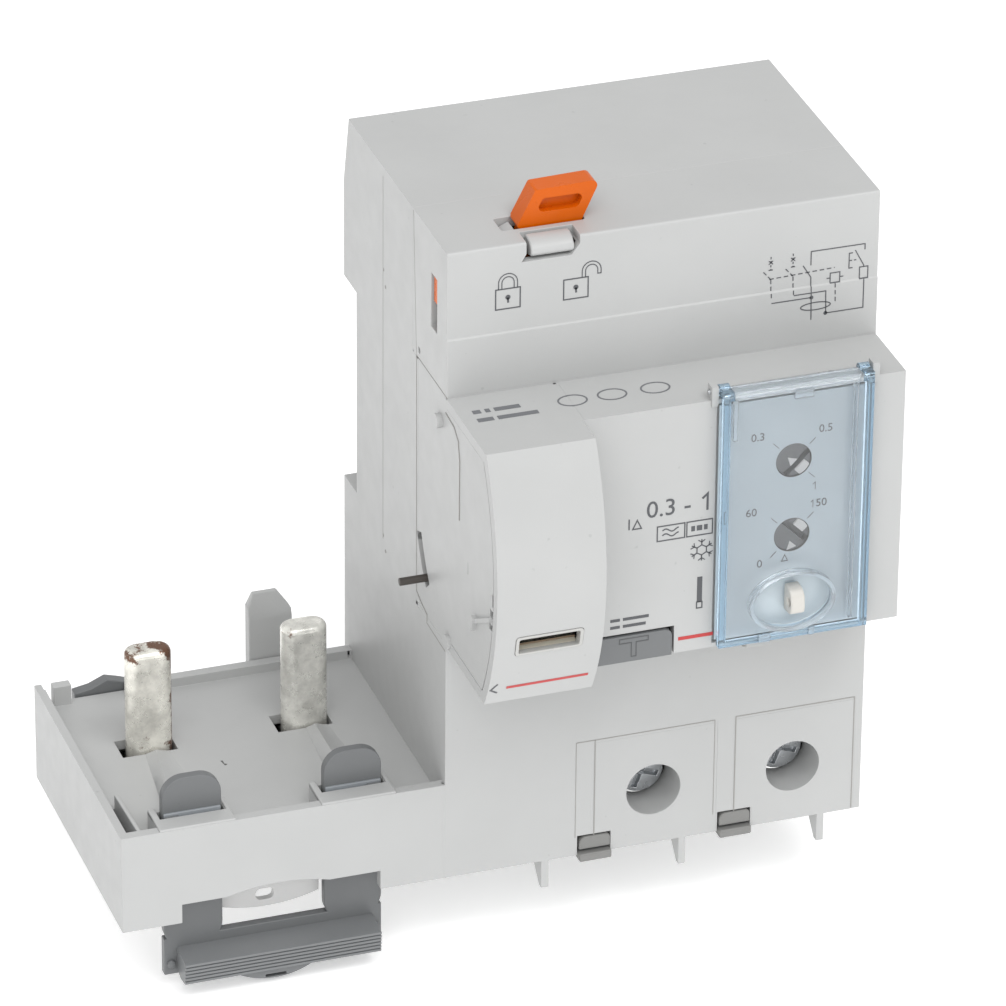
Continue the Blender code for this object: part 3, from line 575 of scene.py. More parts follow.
def upper_front():
    """The upper cover, with its crease, the lever's slot, the catch's notch and the side slot."""
    outline = [
        (SHOULDER_Y, 22.4), (SHOULDER_Y, CREASE[0]), (SHOULDER_Y + 0.2, CREASE[1]),
        *arc((SHOULDER_Y + 0.7, TOP_Z - 0.5), 0.5, 180, 90, 4), (-29.3, TOP_Z), (-29.3, 22.4),
    ]
    cover = prism("X", outline, -HALF, HALF)
    notch = [(-23.5, 43.9), (-15.4, 43.9), (-14, 45.7), (-14, 48.5), (-22.7, 48.5), (-22.7, 45.2)]
    cut(
        cover,
        box((-33.8, 33.8), (-44.2, -28), (24.2, 45.4)),
        prism("Z", rounded((-25.1, -11.5), (-40.9, -36.5), 0.5), 44, 48.2),
        prism("Y", notch, -47, -42),
        box((-36.6, -32.6), (-41, -38), (31, 40.3)),
        rod("X", (-32.2, 23.75), 0.55, -36.6, -33, 16),
    )
    piece(cover, "upper_front_cover", "housing", 0.3, nodes=["upper_cover"])


def seam_fillers():
    """Strips flush with the surface that close the hairline seams between the body's mouldings."""
    left, right, front = FLUSH - HALF, HALF - FLUSH, SHOULDER_Y + FLUSH
    low, rim, deck, top = BOTTOM_Z + FLUSH, TRAY_TOP - FLUSH, DECK_Z - FLUSH, NOSE_TOP - FLUSH
    strips = [
        box((left, right), (-29.85, -28.45), (22.5, TOP_Z - FLUSH)),
        box((left, right), (front, -29.5), (21.9, 22.95)),
        box(span(NOSE_SPLIT_X + 0.15, 0.6), (NOSE_Y + FLUSH, -45.9), (-top, top)),
        cut(box((left, -34.3), (-31.7, -30.5), (-22.4, NOSE_TOP)), trip_slot()),
        box((left, -33), (front, -30.5), (-23, -21.8)),
        box((HALF - 2, right), (-31.8, -29.9), (-22.9, NOSE_TOP)),
        box((HALF - 2, right), (front, -29.9), (-22.9, -21.8)),
        box((left, NOSE_SPLIT_X), (-46.6, -45.4), (20.4, top)),
        box((left, NOSE_SPLIT_X), (-46.6, -45.4), (-top, -20.4)),
        box((-36.35, -35.05), (front, -45), (low, rim)),
        prism("X", [
            (-45.5, low), (-45.5, rim), (-44.2, rim), (-44.2, deck), (2.7, deck), (2.7, -49.55),
            (4.45, -49.55), (4.45, low),
        ], -36.35, -35.5),
    ]
    for index, strip in enumerate(strips, 1):
        piece(strip, f"seam_filler_{index}", "housing", 0)


def lock_lever():
    """The lever with its grip, and the skirt that closes its slot as it tilts."""
    front, back = LEVER_Y
    points = [
        (-19.5, 53.2), (-22.5, 47.35), (-21.5, 46.4), (-22.4, 42.8), (-25, 39.8), (-35.2, 39.8),
        (-35.2, 35.5), (-25, 35.5), (-22.5, 33.8), (-16.6, 33.8), (-14.6, 38), (-13, 45.4),
        (-12, 46.8), (-8.9, 53.5),
    ]
    lever = prism("Y", filleted(points, (0.5, 0.35, *[0] * 10, 0.3, 0.9)), front, back)
    grip = filleted([(-19.5, 53.2), (-22.5, 47.35), (-12, 46.95), (-8.9, 53.5)], (0.5, 0.35, 0.3, 0.9))
    fuse(lever, prism("Y", grip, front, -36.7))
    window = filleted([(-18.3, 51.6), (-19.5, 49.3), (-12.6, 49.3), (-11.4, 51.6)], (0.8,) * 4)
    cut(
        lever,
        prism("Y", window, front - 1, front + 1.5),
        rod("Y", LEVER_PIVOT, AXLE_HOLE, -42, -36, 24),
        box((-40, -32.5), (-38.4, -36), (30, 45)),
    )
    piece(lever, "orange_lock_lever", "orange", 0.3, "lever", ["lock_lever"], 4, 25)
    skirt = prism("Y", band(LEVER_PIVOT, 8.1, 9.05, 20, 160, 28), front + 0.1, -36.8)
    cut(skirt, prism("Y", [(-24, 40), (-22.2, 49), (-11.6, 49), (-13.5, 40)], -42, -36))
    piece(skirt, "lever_skirt", "housing", 0.1, "lever")


def catch_tongue():
    outline = [
        (-42.3, 43.4), (-42.3, 46.95), (-43.5, 47), (-44.7, 46.6), (-45.6, 45.7), (-45.75, 44.9),
        (-45.2, 44.4), (-43.6, 43.9),
    ]
    tongue = prism("X", outline, -21.9, -14.8)
    piece(tongue, "catch_tongue_moulding", "housing", 0.35, nodes=["catch_tongue"])


def padlock(left, is_open):
    """A plain padlock picture whose body's left edge is at left."""
    y, width = SHOULDER_Y + 0.2, 0.2
    low, high, right = 36.3, 39.75, left + 4
    middle = (left + right) / 2
    drawn = [line(corners((left, right), (low, high)), width, y, True)]
    centre = right + 0.55 if is_open else middle
    for radius in (1.55, 1):
        bow = arc((centre, 40.8), radius, 0, 180, 12)
        legs = [(centre + radius, 40.1 if is_open else high), *bow, (centre - radius, high)]
        drawn.append(line(legs, width * 0.8, y))
    if is_open:
        drawn.append(line([(centre + 0.95, 40.1), (centre + 1.6, 40.1)], width * 0.8, y))
    drawn.append(prism("Y", arc((middle, 38.25), 0.42, 0, 345, 12), y - PRINT, y + INK_DEPTH))
    drawn.append(line([(middle, 38.2), (middle + 0.05, 37.3)], 0.3, y))
    return drawn


def wiring_picture():
    """A generic two-pole diagram: contacts, ring transformer, trip coil and test resistor."""
    y, width = upper_face, 0.17
    drawn = lines(
        width, y,
        [(24.3, 35.9), (24.3, 38.3), (33.3, 38.3), (33.3, 37.3)],
        [(23, 36), (24.35, 33.8), (24.5, 26.4)],
        [(31.7, 37.4), (33.15, 34.6), (33.2, 34.3)],
        [(33.2, 32.3), (33.2, 27.2), (26.9, 27.2)],
        [(21.5, 31.1), (26.85, 31.1), (26.95, 27.2)],
        [(17.8, 30.3), (24.4, 30.3)], [(27, 33.15), (27.6, 33.15)], [(29.2, 33.15), (29.8, 33.15)],
        [(31.3, 37), (30.7, 37), (30.7, 34.4), (31.3, 34.4)],
    )
    drawn += lines(
        width, y, corners((32.5, 33.9), (32.3, 34.3)), corners((27.6, 29.2), (32.3, 34)),
        oval((25.2, 28.7), 2.5, 0.65, 24), closed=True,
    )
    for x in (17.6, 21.3):
        drawn += dashes((x - 1.2, 35.9), (x, 34.5), width, y)
        drawn += dashes((x + 0.05, 34.4), (x + 0.15, 31.2), width, y)
        drawn += lines(
            width, y, [(x - 0.35, 36.1), (x + 0.35, 36.1)], [(x - 0.35, 37.7), (x + 0.35, 37.1)],
            [(x - 0.35, 37.1), (x + 0.35, 37.7)],
        )
        drawn += dashes((x, 38.4), (x, 36.1), width, y, 0.4, 0.3)
    drawn += dashes((17.4, 34.5), (28.3, 34.9), width, y)
    drawn += dashes((28.4, 32.2), (28.5, 28.7), width, y)
    drawn += dashes((30.8, 35.7), (32.2, 35.7), width, y, 0.4, 0.3)
    for joint in ((24.47, 30.3), (26.9, 27.2)):
        dot = arc(joint, 0.33, 0, 345, 12)
        drawn.append(prism("Y", dot, SHOULDER_Y - PRINT, SHOULDER_Y + INK_DEPTH))
    return drawn


# Left module of the nose

def bow_outline(back, inset, rim=None):
    """Side view of the nose: inset from the top and the bottom, and rim from the arc."""
    radius = BOW_RADIUS - (inset if rim is None else rim)
    top = NOSE_TOP - inset
    edge = 180 - degrees(atan2(top, (radius * radius - top * top) ** 0.5))
    return [(back, top), *arc((BOW_Y, 0), radius, edge, 360 - edge, 48), (back, -top)]


def bow_front(z):
    return BOW_Y - (BOW_RADIUS ** 2 - z * z) ** 0.5


def coupling_cover():
    cover = prism("X", bow_outline(SHOULDER_Y - 0.3, 0), -HALF, NOSE_SPLIT_X)
    window = prism("Y", rounded(WINDOW_X, WINDOW_Z, 0.6), -75, -60)
    cut(cover, prism("X", bow_outline(-40, 1.8), -HALF - 1, NOSE_SPLIT_X - 1.2), window)
    piece(cover, "coupling_cover_moulding", "housing", 0.3, nodes=["coupling_cover"], angle=30)


def trip_slot():
    """What is cut out of the side wall for the trip pin's path."""
    return prism("X", band(TRIP_PIVOT, 22.95, 25.3, -40.6, -19.6, 10), -37, -33)


def side_plate():
    """The wall behind the coupling cover, with the trip slot, moulded pegs, a slit and a fine line."""
    across = (-HALF + 0.05, -HALF + 1.6)
    outline = [(SEAM_Y, NOSE_TOP), (SHOULDER_Y, NOSE_TOP), *bow_outline(SHOULDER_Y, 1.86, 2.15)]
    plate = prism("X", [*outline, (SHOULDER_Y, -22.2), (SEAM_Y, -22.2)], *across)
    cut(
        plate,
        trip_slot(),
        *[box((-37, depth), y, z) for depth, y, z in (
            (-34.8, (-56.6, -56.35), (-3.4, -1.2)), (-33.5, (-70, -68.1), (-2.9, -0.6)),
            (-33.5, (-70, -67.3), (-5, -3.6)), (-34.4, (-70, -66.9), (-7.3, -6.2)),
        )],
    )
    piece(plate, "side_plate_moulding", "housing", 0.12, nodes=["side_plate"], segments=2)
    behind = band((BOW_Y, 0), BOW_RADIUS - 3.2, BOW_RADIUS - 1.7, 168, 190, 24)
    piece(prism("X", behind, -HALF + 0.7, -HALF + 1.5), "side_plate_ledge", "tab", 0)
    pegs = [
        rod("X", (-42.9, 16.9), 1.2, -HALF - 0.9, -HALF + 0.3, 32),
        rod("X", (-47.4, -20.4), 1.2, -HALF - 0.6, -HALF + 0.3, 32),
        fuse(
            prism("X", [(-59.6, -10.9), (-60.6, -8.3), (-61.4, -8.7), (-60.4, -11.3)], -36.4, -35.3),
            prism("X", [(-60, -10.1), (-60.3, -9.2), (-68.4, -4.6), (-68, -5.7)], -36.1, -35.3),
        ),
    ]
    piece(gather(*pegs), "side_plate_pegs", "housing", 0.3)
    path = [(-45.4, 19.4), (-49.5, 19), (-51.6, 17.6), (-52.3, 14.5), (-52.3, 4)]
    piece(side_line(path, 0.22, 0.05), "side_plate_line", "soft_seam", 0)


def side_line(points, width, proud):
    """A thin line on the left wall through (Y, Z) points."""
    left, right = ribbon(points, width)
    outline = [(p.x, p.y) for p in left] + [(p.x, p.y) for p in reversed(right)]
    return prism("X", outline, -HALF - proud, -HALF + 0.2)


def left_wall_lines():
    """Hairline seams and ejector dots of the left wall."""
    paths = (
        ([(-13.9, 45.5), (-13.9, -19.6)], 0.14), ([(-29.3, 46.9), (-30.9, 22.2), (-31.1, -19.9)], 0.14),
        ([(-31.1, -19.9), (-33, -20.7), (-36.5, -21.5), (-36.5, -23), (-45.8, -23.15)], 0.22),
        ([(-31, 22.25), (-46, 22.25)], 0.12),
    )
    seams = [side_line(path, width, 0.02) for path, width in paths]
    piece(gather(*seams), "left_wall_seams", "soft_seam", 0)
    places = ((-15.2, 26.5), (-14.2, 29.1), (-15.3, -21.3), (-14.1, -18.9))
    dots = [rod("X", place, 0.3, -HALF - 0.03, -HALF + 0.2, 16) for place in places]
    piece(gather(*dots), "left_wall_dots", "soft_seam", 0)


def indicator():
    """Bezel, window pane and the flag behind them."""
    ring = prism("Y", rounded((-32.15, -21.15), (-11.65, -7.95), 0.6), -72, -64)
    cut(ring, prism("Y", rounded((-31.65, -21.65), (-11.2, -8.4), 0.3), -73, -63))
    shell = prism("X", band((BOW_Y, 0), BOW_RADIUS - 1.5, BOW_RADIUS + 0.12, 186, 200, 10), -33, -20)
    combine(ring, "INTERSECT", [shell])
    piece(ring, "window_bezel", "bezel", 0.08, nodes=["indicator_window"], segments=2)
    pane = prism("X", band((BOW_Y, 0), BOW_RADIUS - 2.6, BOW_RADIUS - 2.2, 190, 196.6, 6), -31.6, -21.7)
    piece(pane, "window_pane", "clear_window", 0)
    for name, look, start, end, nodes in (
        ("trip_flag_ready", "flag_brown", 205.5, 222, ["trip_flag"]),
        ("trip_flag_tripped", "red", 190, 205.3, []),
    ):
        field = prism("X", band(TRIP_PIVOT, 13.2, 14.3, start, end, 12), -32, -21.5)
        piece(field, name, look, 0.1, "flag", nodes)
    arm = prism("X", band(TRIP_PIVOT, 2, 13.4, 203, 209, 3), -24, -22.6)
    hub = rod("X", TRIP_PIVOT, 2.6, -24.2, -21.5, 32)
    cut(fuse(hub, arm), rod("X", TRIP_PIVOT, AXLE_HOLE, -26, -20, 32))
    piece(hub, "trip_flag_hub", "white", 0.15, "flag")
    ledge = [(-67.2, -12.2), (-68.9, -12), (-68.9, -11.3), (-67.2, -11)]
    piece(prism("X", ledge, -31.7, -21.6), "window_ledge", "cream", 0.15)
    piece(box((-31.7, -21.6), (-67.3, -67), (-11.05, -10.7)), "window_ledge_edge", "rust", 0.05)


# Right part of the nose

def snowflake(hub, y):
    """Six forked spokes round a hexagon."""

    def polar(radius, angle):
        return (hub[0] + radius * cos(angle), hub[1] + radius * sin(angle))

    ways = [radians(60 * spoke + 30) for spoke in range(6)]
    drawn = []
    for way in ways:
        drawn.append(line([polar(0.9, way), polar(1.9, way)], 0.2, y))
        for side in (-0.3, 0.3):
            drawn.append(line([polar(1.4, way), polar(1.9, way + side)], 0.16, y))
    return [*drawn, line([polar(0.9, way) for way in ways], 0.18, y, True)]


def nose_marks():
    """Red lines, the arrow beside the left one, generic signs, and bars where the original has text."""
    y = NOSE_Y
    printed([line([(-1.4, -19.65), (4.4, -19.65)], 0.6, y)], "red_line_right", "red")
    printed([line([(-32.6, -18.55), (-19.2, -18.45)], 0.55, bow_front)], "red_line_left", "red")
    arrow = line([(-34.2, -17.4), (-35.2, -18.65), (-34, -19.5)], 0.3, bow_front)
    printed([arrow], "arrow_left")
    drawn = [
        figures("0.3 -", 2.9, (-3.4, 4.25), y), one(3, 2.85, 2.9, y, 0.36),
        line([(-9.95, 3.3), (-9.95, 1.4)], 0.22, y),
        line([(2, -9), (2, -13.5)], 0.85, y),
        *lines(
            0.2, y, [(-9.35, 1.4), (-8.6, 2.9), (-7.9, 1.4)], corners((1.55, 2.45), (-14.6, -13.5)),
            corners((-5.25, -0.7), (-1.45, 1.15)), corners((-0.35, 3.9), (-1.45, 1.15)), closed=True,
        ),
    ]
    for level in (-0.55, 0.3):
        wave = [(-4.4 + 0.15 * i, level + 0.26 * sin(i * 0.44)) for i in range(19)]
        drawn.append(line(wave, 0.2, y))
    for left, right in ((0.4, 1), (1.3, 2.2), (2.5, 3.1)):
        drawn.append(line([(left, -0.15), (right, -0.15)], 0.9, y))
    drawn += snowflake((2.2, -4.2), y)
    for z, right in ((-14.5, -6.4), (-15.75, -6.9)):
        drawn += lines(0.5, y, [(-12.8, z), (-11.2, z)], [(-10.7, z), (right, z)])
    printed(drawn, "front_marks")
    top = []
    for x, middle, words in ((-33.2, -51.4, (1.3, 0.8, 4.2)), (-33.3, -54.1, (2.6, 6.6))):
        for length in words:
            top.append(box((x, x + length), span(middle, 0.55), (NOSE_TOP - INK_DEPTH, NOSE_TOP + PRINT)))
            x += length + 0.7
    for x in (-17.2, -10.7, -3.6):
        top.append(flat_line(oval((x, -52.3), 2.3, 1.7, 32), 0.28))
    printed(top, "top_marks", "pale_ink")


def test_button():
    x, z = (-15.4, -2.5), (-22.2, -17.5)
    outline = [(x[0], z[0]), (x[1], z[0]), *arc((x[1] - 1.2, z[1] - 1.2), 1.2, 0, 90, 6), (x[0], z[1])]
    button = prism("Y", outline, -59.25, -54.5)
    fuse(button, box((-10.45, -7.45), (-54.7, -52.4), (-19.9, -18.3)))
    piece(button, "test_button_moulding", "grey", 0.25, "button", ["test_button"])
    letter = [
        (-11.3, -17.95), (-6.5, -17.95), (-6.5, -18.75), (-8.5, -18.75), (-8.5, -21.3), (-9.3, -21.3),
        (-9.3, -18.75), (-11.3, -18.75),
    ]
    printed([line(letter, 0.14, -59.25, True)], "test_button_mark", "dim_ink_and_shade", "button")


def settings_marks():
    """The dials' figures and strokes, and two small signs."""
    y = NOSE_Y + PLATE_DROP
    drawn = lines(
        0.13, y, [(15.6, -8.5), (16.1, -7.4), (16.6, -8.5)], corners((5.7, 6.4), (0, 2.1)), closed=True
    )
    drawn += [one(20.9, 3.55, 1.3, y), one(20.6, 0.35, 1.3, y)]
    for text, x, z in (
        ("0.3", 11.1, 14.3), ("0.5", 22.4, 14.2), ("60", 10.3, 1), ("50", 22, 1), ("0", 11.9, -8.4),
    ):
        drawn.append(figures(text, 1.35, (x, z), y))
    for z, angle in zip((KNOB_ZS[0],) * 3 + (KNOB_ZS[1],) * 3, (135, 45, -45, 135, 45, 225)):
        way = radians(angle)
        stroke = [(KNOB_X + r * cos(way), z + r * sin(way)) for r in (3.6, 5)]
        drawn.append(line(stroke, 0.1, y))
    printed(drawn, "settings_marks", "pale_ink")


def settings_plate():
    """The printed plate, and the wells of the two dials."""
    plate = box((4.7, 29.4), (NOSE_Y + PLATE_DROP, NOSE_Y + 0.6), (-21, 21))
    for z in KNOB_ZS:
        cut(plate, rod("Y", (KNOB_X, z), KNOB_R + 0.12, -60, -56, 48))
    piece(plate, "settings_plate_moulding", "plate", 0.08, nodes=["settings_plate"], segments=2)
    for index, z in enumerate(KNOB_ZS, 1):
        ring = rod("Y", (KNOB_X, z), KNOB_R + 0.6, NOSE_Y + 0.2, NOSE_Y + 1.8, 48)
        cut(ring, rod("Y", (KNOB_X, z), KNOB_R + 0.1, -60, -56, 48))
        piece(ring, f"dial_well_{index}", "shadow", 0)


def selector(role, z, aim, mark):
    """Dial with a driver slot, a white arrow head at mark and a white block at the rim behind the slot."""
    name, body, pivot = role + "_dial_knob", role + "_dial", (KNOB_X, 0, z)
    knob = rod("Y", (KNOB_X, z), KNOB_R, -58.5, -55.4, 48)
    fuse(knob, rod("Y", (KNOB_X, z), 1.1, -55.6, -51, 24))
    slot = box((KNOB_X - 1.35, KNOB_X - 0.35), (-60, -57.4), span(z, 2.7))
    cut(knob, turn(slot, "Y", -aim, pivot))
    piece(knob, name, "dial", 0.18, body, [role + "_selector"])
    u, v = KNOB_X + mark[0], z + mark[1]
    head = prism("Y", [(u + 1.5, v), (u, v + 0.8), (u, v - 0.8)], -58.6, -58.3)
    piece(turn(head, "Y", -aim, pivot), name + "_arrow", "white", 0.05, body)
    rim = arc((KNOB_X, z), KNOB_R, 156, 204, 8)
    block = prism("Y", [(KNOB_X - 1.4, z - 1.15), (KNOB_X - 1.4, z + 1.15), *rim], -58.8, -58.2)
    piece(turn(block, "Y", -aim, pivot), name + "_block", "white", 0.12, body)


def settings_cover():
    """Clear flap: a pane in a moulded frame, hinge barrels, and the collar round the sealing lug."""
    low, high = COVER_X
    bottom, front = -21.3, -61.25
    pane = box((low + 0.9, high - 0.9), (-61.1, -60.4), (-20.6, 22.6))
    cut(pane, prism("Y", oval(SEAL_HOLE, 6.6, 4.7), -62, -59))
    piece(pane, "settings_cover_pane", "clear", 0.15, "cover", ["settings_cover"], 2)
    bars = [
        box((low, low + 1.1), (front, -59.9), (bottom, 22.8)),
        box((high - 1, high), (front, -59.4), (bottom, 22.8)),
        box((low + 0.3, high - 0.3), (front, -60.2), (bottom, -20.4)),
    ]
    for x in (low, high - 1.7):
        bars.append(rod("X", COVER_HINGE, 0.93, x, x + 1.7, 24))
        bars.append(box((x, x + 1.7), (-61.2, COVER_HINGE[0]), (22.6, 24)))
    edging = fuse(*bars)
    cut(edging, rod("X", COVER_HINGE, 0.46, 2, 32, 24))
    rib = box((high - 3, high - 2.3), (-60.5, -59.4), (-19.8, 22.2))
    flange = box((low + 1.7, high - 1.7), (-61.15, -58.6), (22.5, 23.9))
    collar = prism("Y", oval(SEAL_HOLE, 7.3, 5.4), -61.8, -59.9)
    cut(collar, prism("Y", oval(SEAL_HOLE, 6.5, 4.6), -63, -59))
    tabs = gather(
        box((11.2, 13.2), (-61.6, -61), (bottom, -19.9)),
        box((19.6, 20.6), (-61.6, -61), (bottom, -19.9)),
        box((16.2, 19.4), (-61.5, -60.9), (21.4, 22.9)),
        box((low + 1.6, low + 2.4), (-61.3, -60.3), (15.4, 22.6)),
    )
    for item, name, look, edge in (
        (edging, "frame", "clear_edge", 0.18), (rib, "rib", "clear_rib", 0.15),
        (flange, "flange", "clear_rib", 0.3), (collar, "collar", "clear_rib", 0.35),
        (tabs, "tabs", "clear_rib", 0.15),
    ):
        piece(item, "settings_cover_" + name, look, edge, "cover")


def sealing_lug():
    """The lug with its hole, and the seat of the cover's latch under the nose."""
    outline = [
        (-59.2, -17.2), (-61.6, -16.9), (-62.5, -16.4), (-62.7, -15.4), (-62.4, -13.3), (-61.6, -12.6),
        (-59.2, -12.4),
    ]
    lug = prism("X", outline, 16.1, 18.5)
    cut(lug, rod("X", (-61.3, -14.8), 0.7, 15, 20, 20))
    piece(lug, "sealing_lug_moulding", "lug", 0.35, nodes=["sealing_lug"])
    piece(box((9.7, 14.4), (-58.6, -57.4), (-23.4, -22.2)), "cover_latch_outline", "soft_seam", 0.12)
    piece(box((10, 14.1), (-59.3, -57.4), (-23.2, -22)), "cover_latch_seat", "housing", 0.12)


# Terminals

def terminal(index):
    """Tube and screw of one terminal, with the two faces of its seal tab."""
    x, left = TERMINAL_X[index], TERMINAL_LEFTS[index]
    centre, number = (x, TERMINAL_Z), index + 1
    tube = rod("Y", centre, 5.5, -44.6, -38.4, 56)
    cut(tube, rod("Y", centre, 4.6, -47, -37, 56))
    piece(tube, f"terminal_tube_{number}", "housing", 0.15)
    screw = rod("Y", centre, 3.9, SCREW_FRONT, SCREW_FRONT + 2, 48)
    fuse(screw, rod("Y", centre, 2.5, SCREW_FRONT + 1.8, -31.1, 32))
    deep = (SCREW_FRONT - 1, SCREW_FRONT + 1)
    cut(
        screw,
        box(span(x, 3.2), deep, span(TERMINAL_Z, 0.5)),
        box(span(x, 0.5), deep, span(TERMINAL_Z, 3.2)),
        rod("Y", centre, 0.6, SCREW_FRONT - 1, SCREW_FRONT + 1.2, 24, 1.3),
    )
    turn(screw, "Y", 20, (x, 0, TERMINAL_Z))
    nodes = [f"terminal_screw_{number}"]
    piece(screw, f"terminal_screw_head_{number}", "steel", 0.2, f"screw_{number}", nodes)
    low, high = left - 2.5, left + 2.8
    face = filleted([(low, -64), (high, -64), (high, -61.7), (low, -61.7)], (0, 0, 0.8, 1.2))
    upper = prism("Y", face, -46.15, -43.5)
    piece(upper, f"terminal_tab_face_{number}", "tab", 0.25, nodes=[f"terminal_tab_{number}"])
    lip = box((low - 0.1, high + 0.1), (-46.8, -43.5), (-66, -64.5))
    piece(lip, f"terminal_tab_lip_{number}", "tab", 0.3)
    # The recess between the tab's face and lip is filled with dark ink colour: painted shade.
    seat = box((low + 0.1, high - 0.1), (-45.5, -43.6), (-64.7, -63.9))
    piece(seat, f"terminal_tab_groove_{number}", "dim_ink_and_shade", 0)


def terminal_seams(index):
    """Fills the gaps round a terminal cover to just under the surface."""
    left, right = TERMINAL_LEFTS[index], TERMINAL_RIGHTS[index]
    front = SHOULDER_Y + FLUSH
    strip = box((left - 0.5, right + 0.5), (front, front + 1.2), (BOTTOM_Z + FLUSH, TERMINAL_COVER_TOP + 0.5))
    cut(
        strip,
        rod("Y", (TERMINAL_X[index], TERMINAL_Z), 5, -47, -43, 48),
        box((left - 2.6, left + 2.9), (-47, -43), (BOTTOM_Z - 1, -61.4)),
    )
    piece(strip, f"terminal_seam_{index + 1}", "housing", 0)


def terminal_lines():
    """The hairlines that outline the terminal covers."""
    y, top, low = SHOULDER_Y, TERMINAL_COVER_TOP, -61.6
    left, right = TERMINAL_LEFTS, TERMINAL_RIGHTS
    fine = lines(0.1, y, [(-13.5, top), (-13.5, low)], [(right[0], top), (right[0], low)])
    fine += lines(0.14, y, [(-13.5, top), (right[0], top)], [(left[0], top), (left[0], low)])
    printed(fine, "terminal_hairlines", "soft_seam")
    outline = [(left[1], low), (left[1], top), (right[1], top), (right[1], -64.8)]
    printed(lines(0.16, y, outline), "terminal_outline", "soft_seam")


# Tray and what stands on it

def loft(shape, rings):
    """Joins rings of as many points each into a closed skin."""
    count = len(rings[0])
    for first, second in zip(rings, rings[1:]):
        for i in range(count):
            shape.faces.new((first[i], first[(i + 1) % count], second[(i + 1) % count], second[i]))
    shape.faces.new(list(reversed(rings[0])))
    shape.faces.new(rings[-1])


def rounded_bar(x, y, low, high, side_r, top_r):
    """An upright bar with rounded sides and a domed top edge."""
    outline = rounded(x, y, side_r, 8)
    middle_x, middle_y = (x[0] + x[1]) / 2, (y[0] + y[1]) / 2
    shape = bmesh.new()
    levels = [(low, 0), ((low + high) / 2, 0)]
    for step in range(7):
        angle = radians(15 * step)
        levels.append((high - top_r + top_r * sin(angle), top_r * (1 - cos(angle))))
    rings = []
    for z, inset in levels:
        keep_x, keep_y = 1 - inset / (x[1] - middle_x), 1 - inset / (y[1] - middle_y)
        rings.append([
            shape.verts.new((middle_x + (u - middle_x) * keep_x, middle_y + (v - middle_y) * keep_y, z))
            for u, v in outline
        ])
    loft(shape, rings)
    return as_object(shape)


def input_blade(index):
    """Blade that stands up from the tray, and its strap into the housing."""
    right, strap, end = BLADE_RIGHTS[index], STRAP_ZS[index], STRAP_ENDS[index]
    left = right - BLADE_WIDTH
    blade = rounded_bar((left, right), BLADE_Y, strap + 0.5, BLADE_TOP, 2.2, 1)
    fuse(blade, box((left, end), BLADE_Y, (strap, strap + 1.8)))
    name, look = f"tinned_blade_{index + 1}", ("tin_worn", "tin")[index]
    piece(blade, name, look, 0.12, nodes=[f"input_blade_{index + 1}"], segments=2, angle=50)


def ramp(index):
    """The moulded ridge that widens from the blade's hole to the pocket of the latch tongue."""
    (foot_x, foot_end), (crest_x, crest_end), spread_end = RAMPS[index]
    shape = bmesh.new()
    rings = []
    steps = 10
    for i in range(steps + 1):
        share = i / steps
        y = RAMP_Y[0] + (RAMP_Y[1] - RAMP_Y[0]) * share
        foot = foot_x + (foot_end - foot_x) * share
        crest = crest_x + (crest_end - crest_x) * share
        height = 0.6 + 2.9 * share
        spread = 2.2 + (spread_end - 2.2) * share
        ring = [(foot, -0.4), (foot, 0.05), (crest - 0.35, height - 0.2), (crest, height)]
        for j in range(1, 7):
            fall = j / 6
            ring.append((crest + spread * fall, height * (1 - fall) ** 1.4 + 0.03))
        ring.append((crest + spread, -0.4))
        rings.append([shape.verts.new((x, y, DECK_Z + z)) for x, z in ring])
    loft(shape, rings)
    piece(as_object(shape), f"tray_ramp_{index + 1}", "housing", 0)


def pocket(index):
    """Raised frame of the slot that a latch tongue comes through."""
    left, right = LATCH_POSTS[index]
    outer = box((left - 1.6, right + 1.2), (-45.9, -38.9), (TRAY_TOP - 0.6, TRAY_TOP + 0.35))
    cut(outer, box((left - 0.5, right + 0.5), (-42.5, -37), (TRAY_TOP - 1, TRAY_TOP + 1)))
    piece(outer, f"pocket_frame_{index + 1}", "housing", 0.22)


def tray_details():
    """The groove beside the left pocket with its rib, the groove's floor and wall painted darker as shade,
    and a tick of painted shade on the deck.
    """
    groove = box((-88.1, -86.2), (-44.2, -31.2), (DECK_Z - 1.15, DECK_Z - 1))
    piece(groove, "tray_groove_floor", "groove", 0)
    foot = DECK_Z - 0.3
    rib = [(-45.4, foot), (-45.4, TRAY_TOP - 0.1), (-31, TRAY_TOP - 1), (-31, foot)]
    piece(prism("X", rib, -86.1, -85.4), "tray_groove_rib", "housing", 0.2)
    wall = box((-88.2, -87.85), (-45, -31.2), (DECK_Z - 1, TRAY_TOP - 0.4))
    piece(wall, "tray_groove_wall", "groove", 0.1)
    # A tick-shaped patch in the seam shadow's colour: painted shade on the deck.
    tick = [(-65.7, -22), (-65.4, -23.6), (-64.9, -23.3), (-65.35, -23), (-65.35, -22)]
    piece(prism("Z", tick, DECK_Z - 0.1, DECK_Z + 0.03), "tray_floor_painted_shade", "shadow", 0)


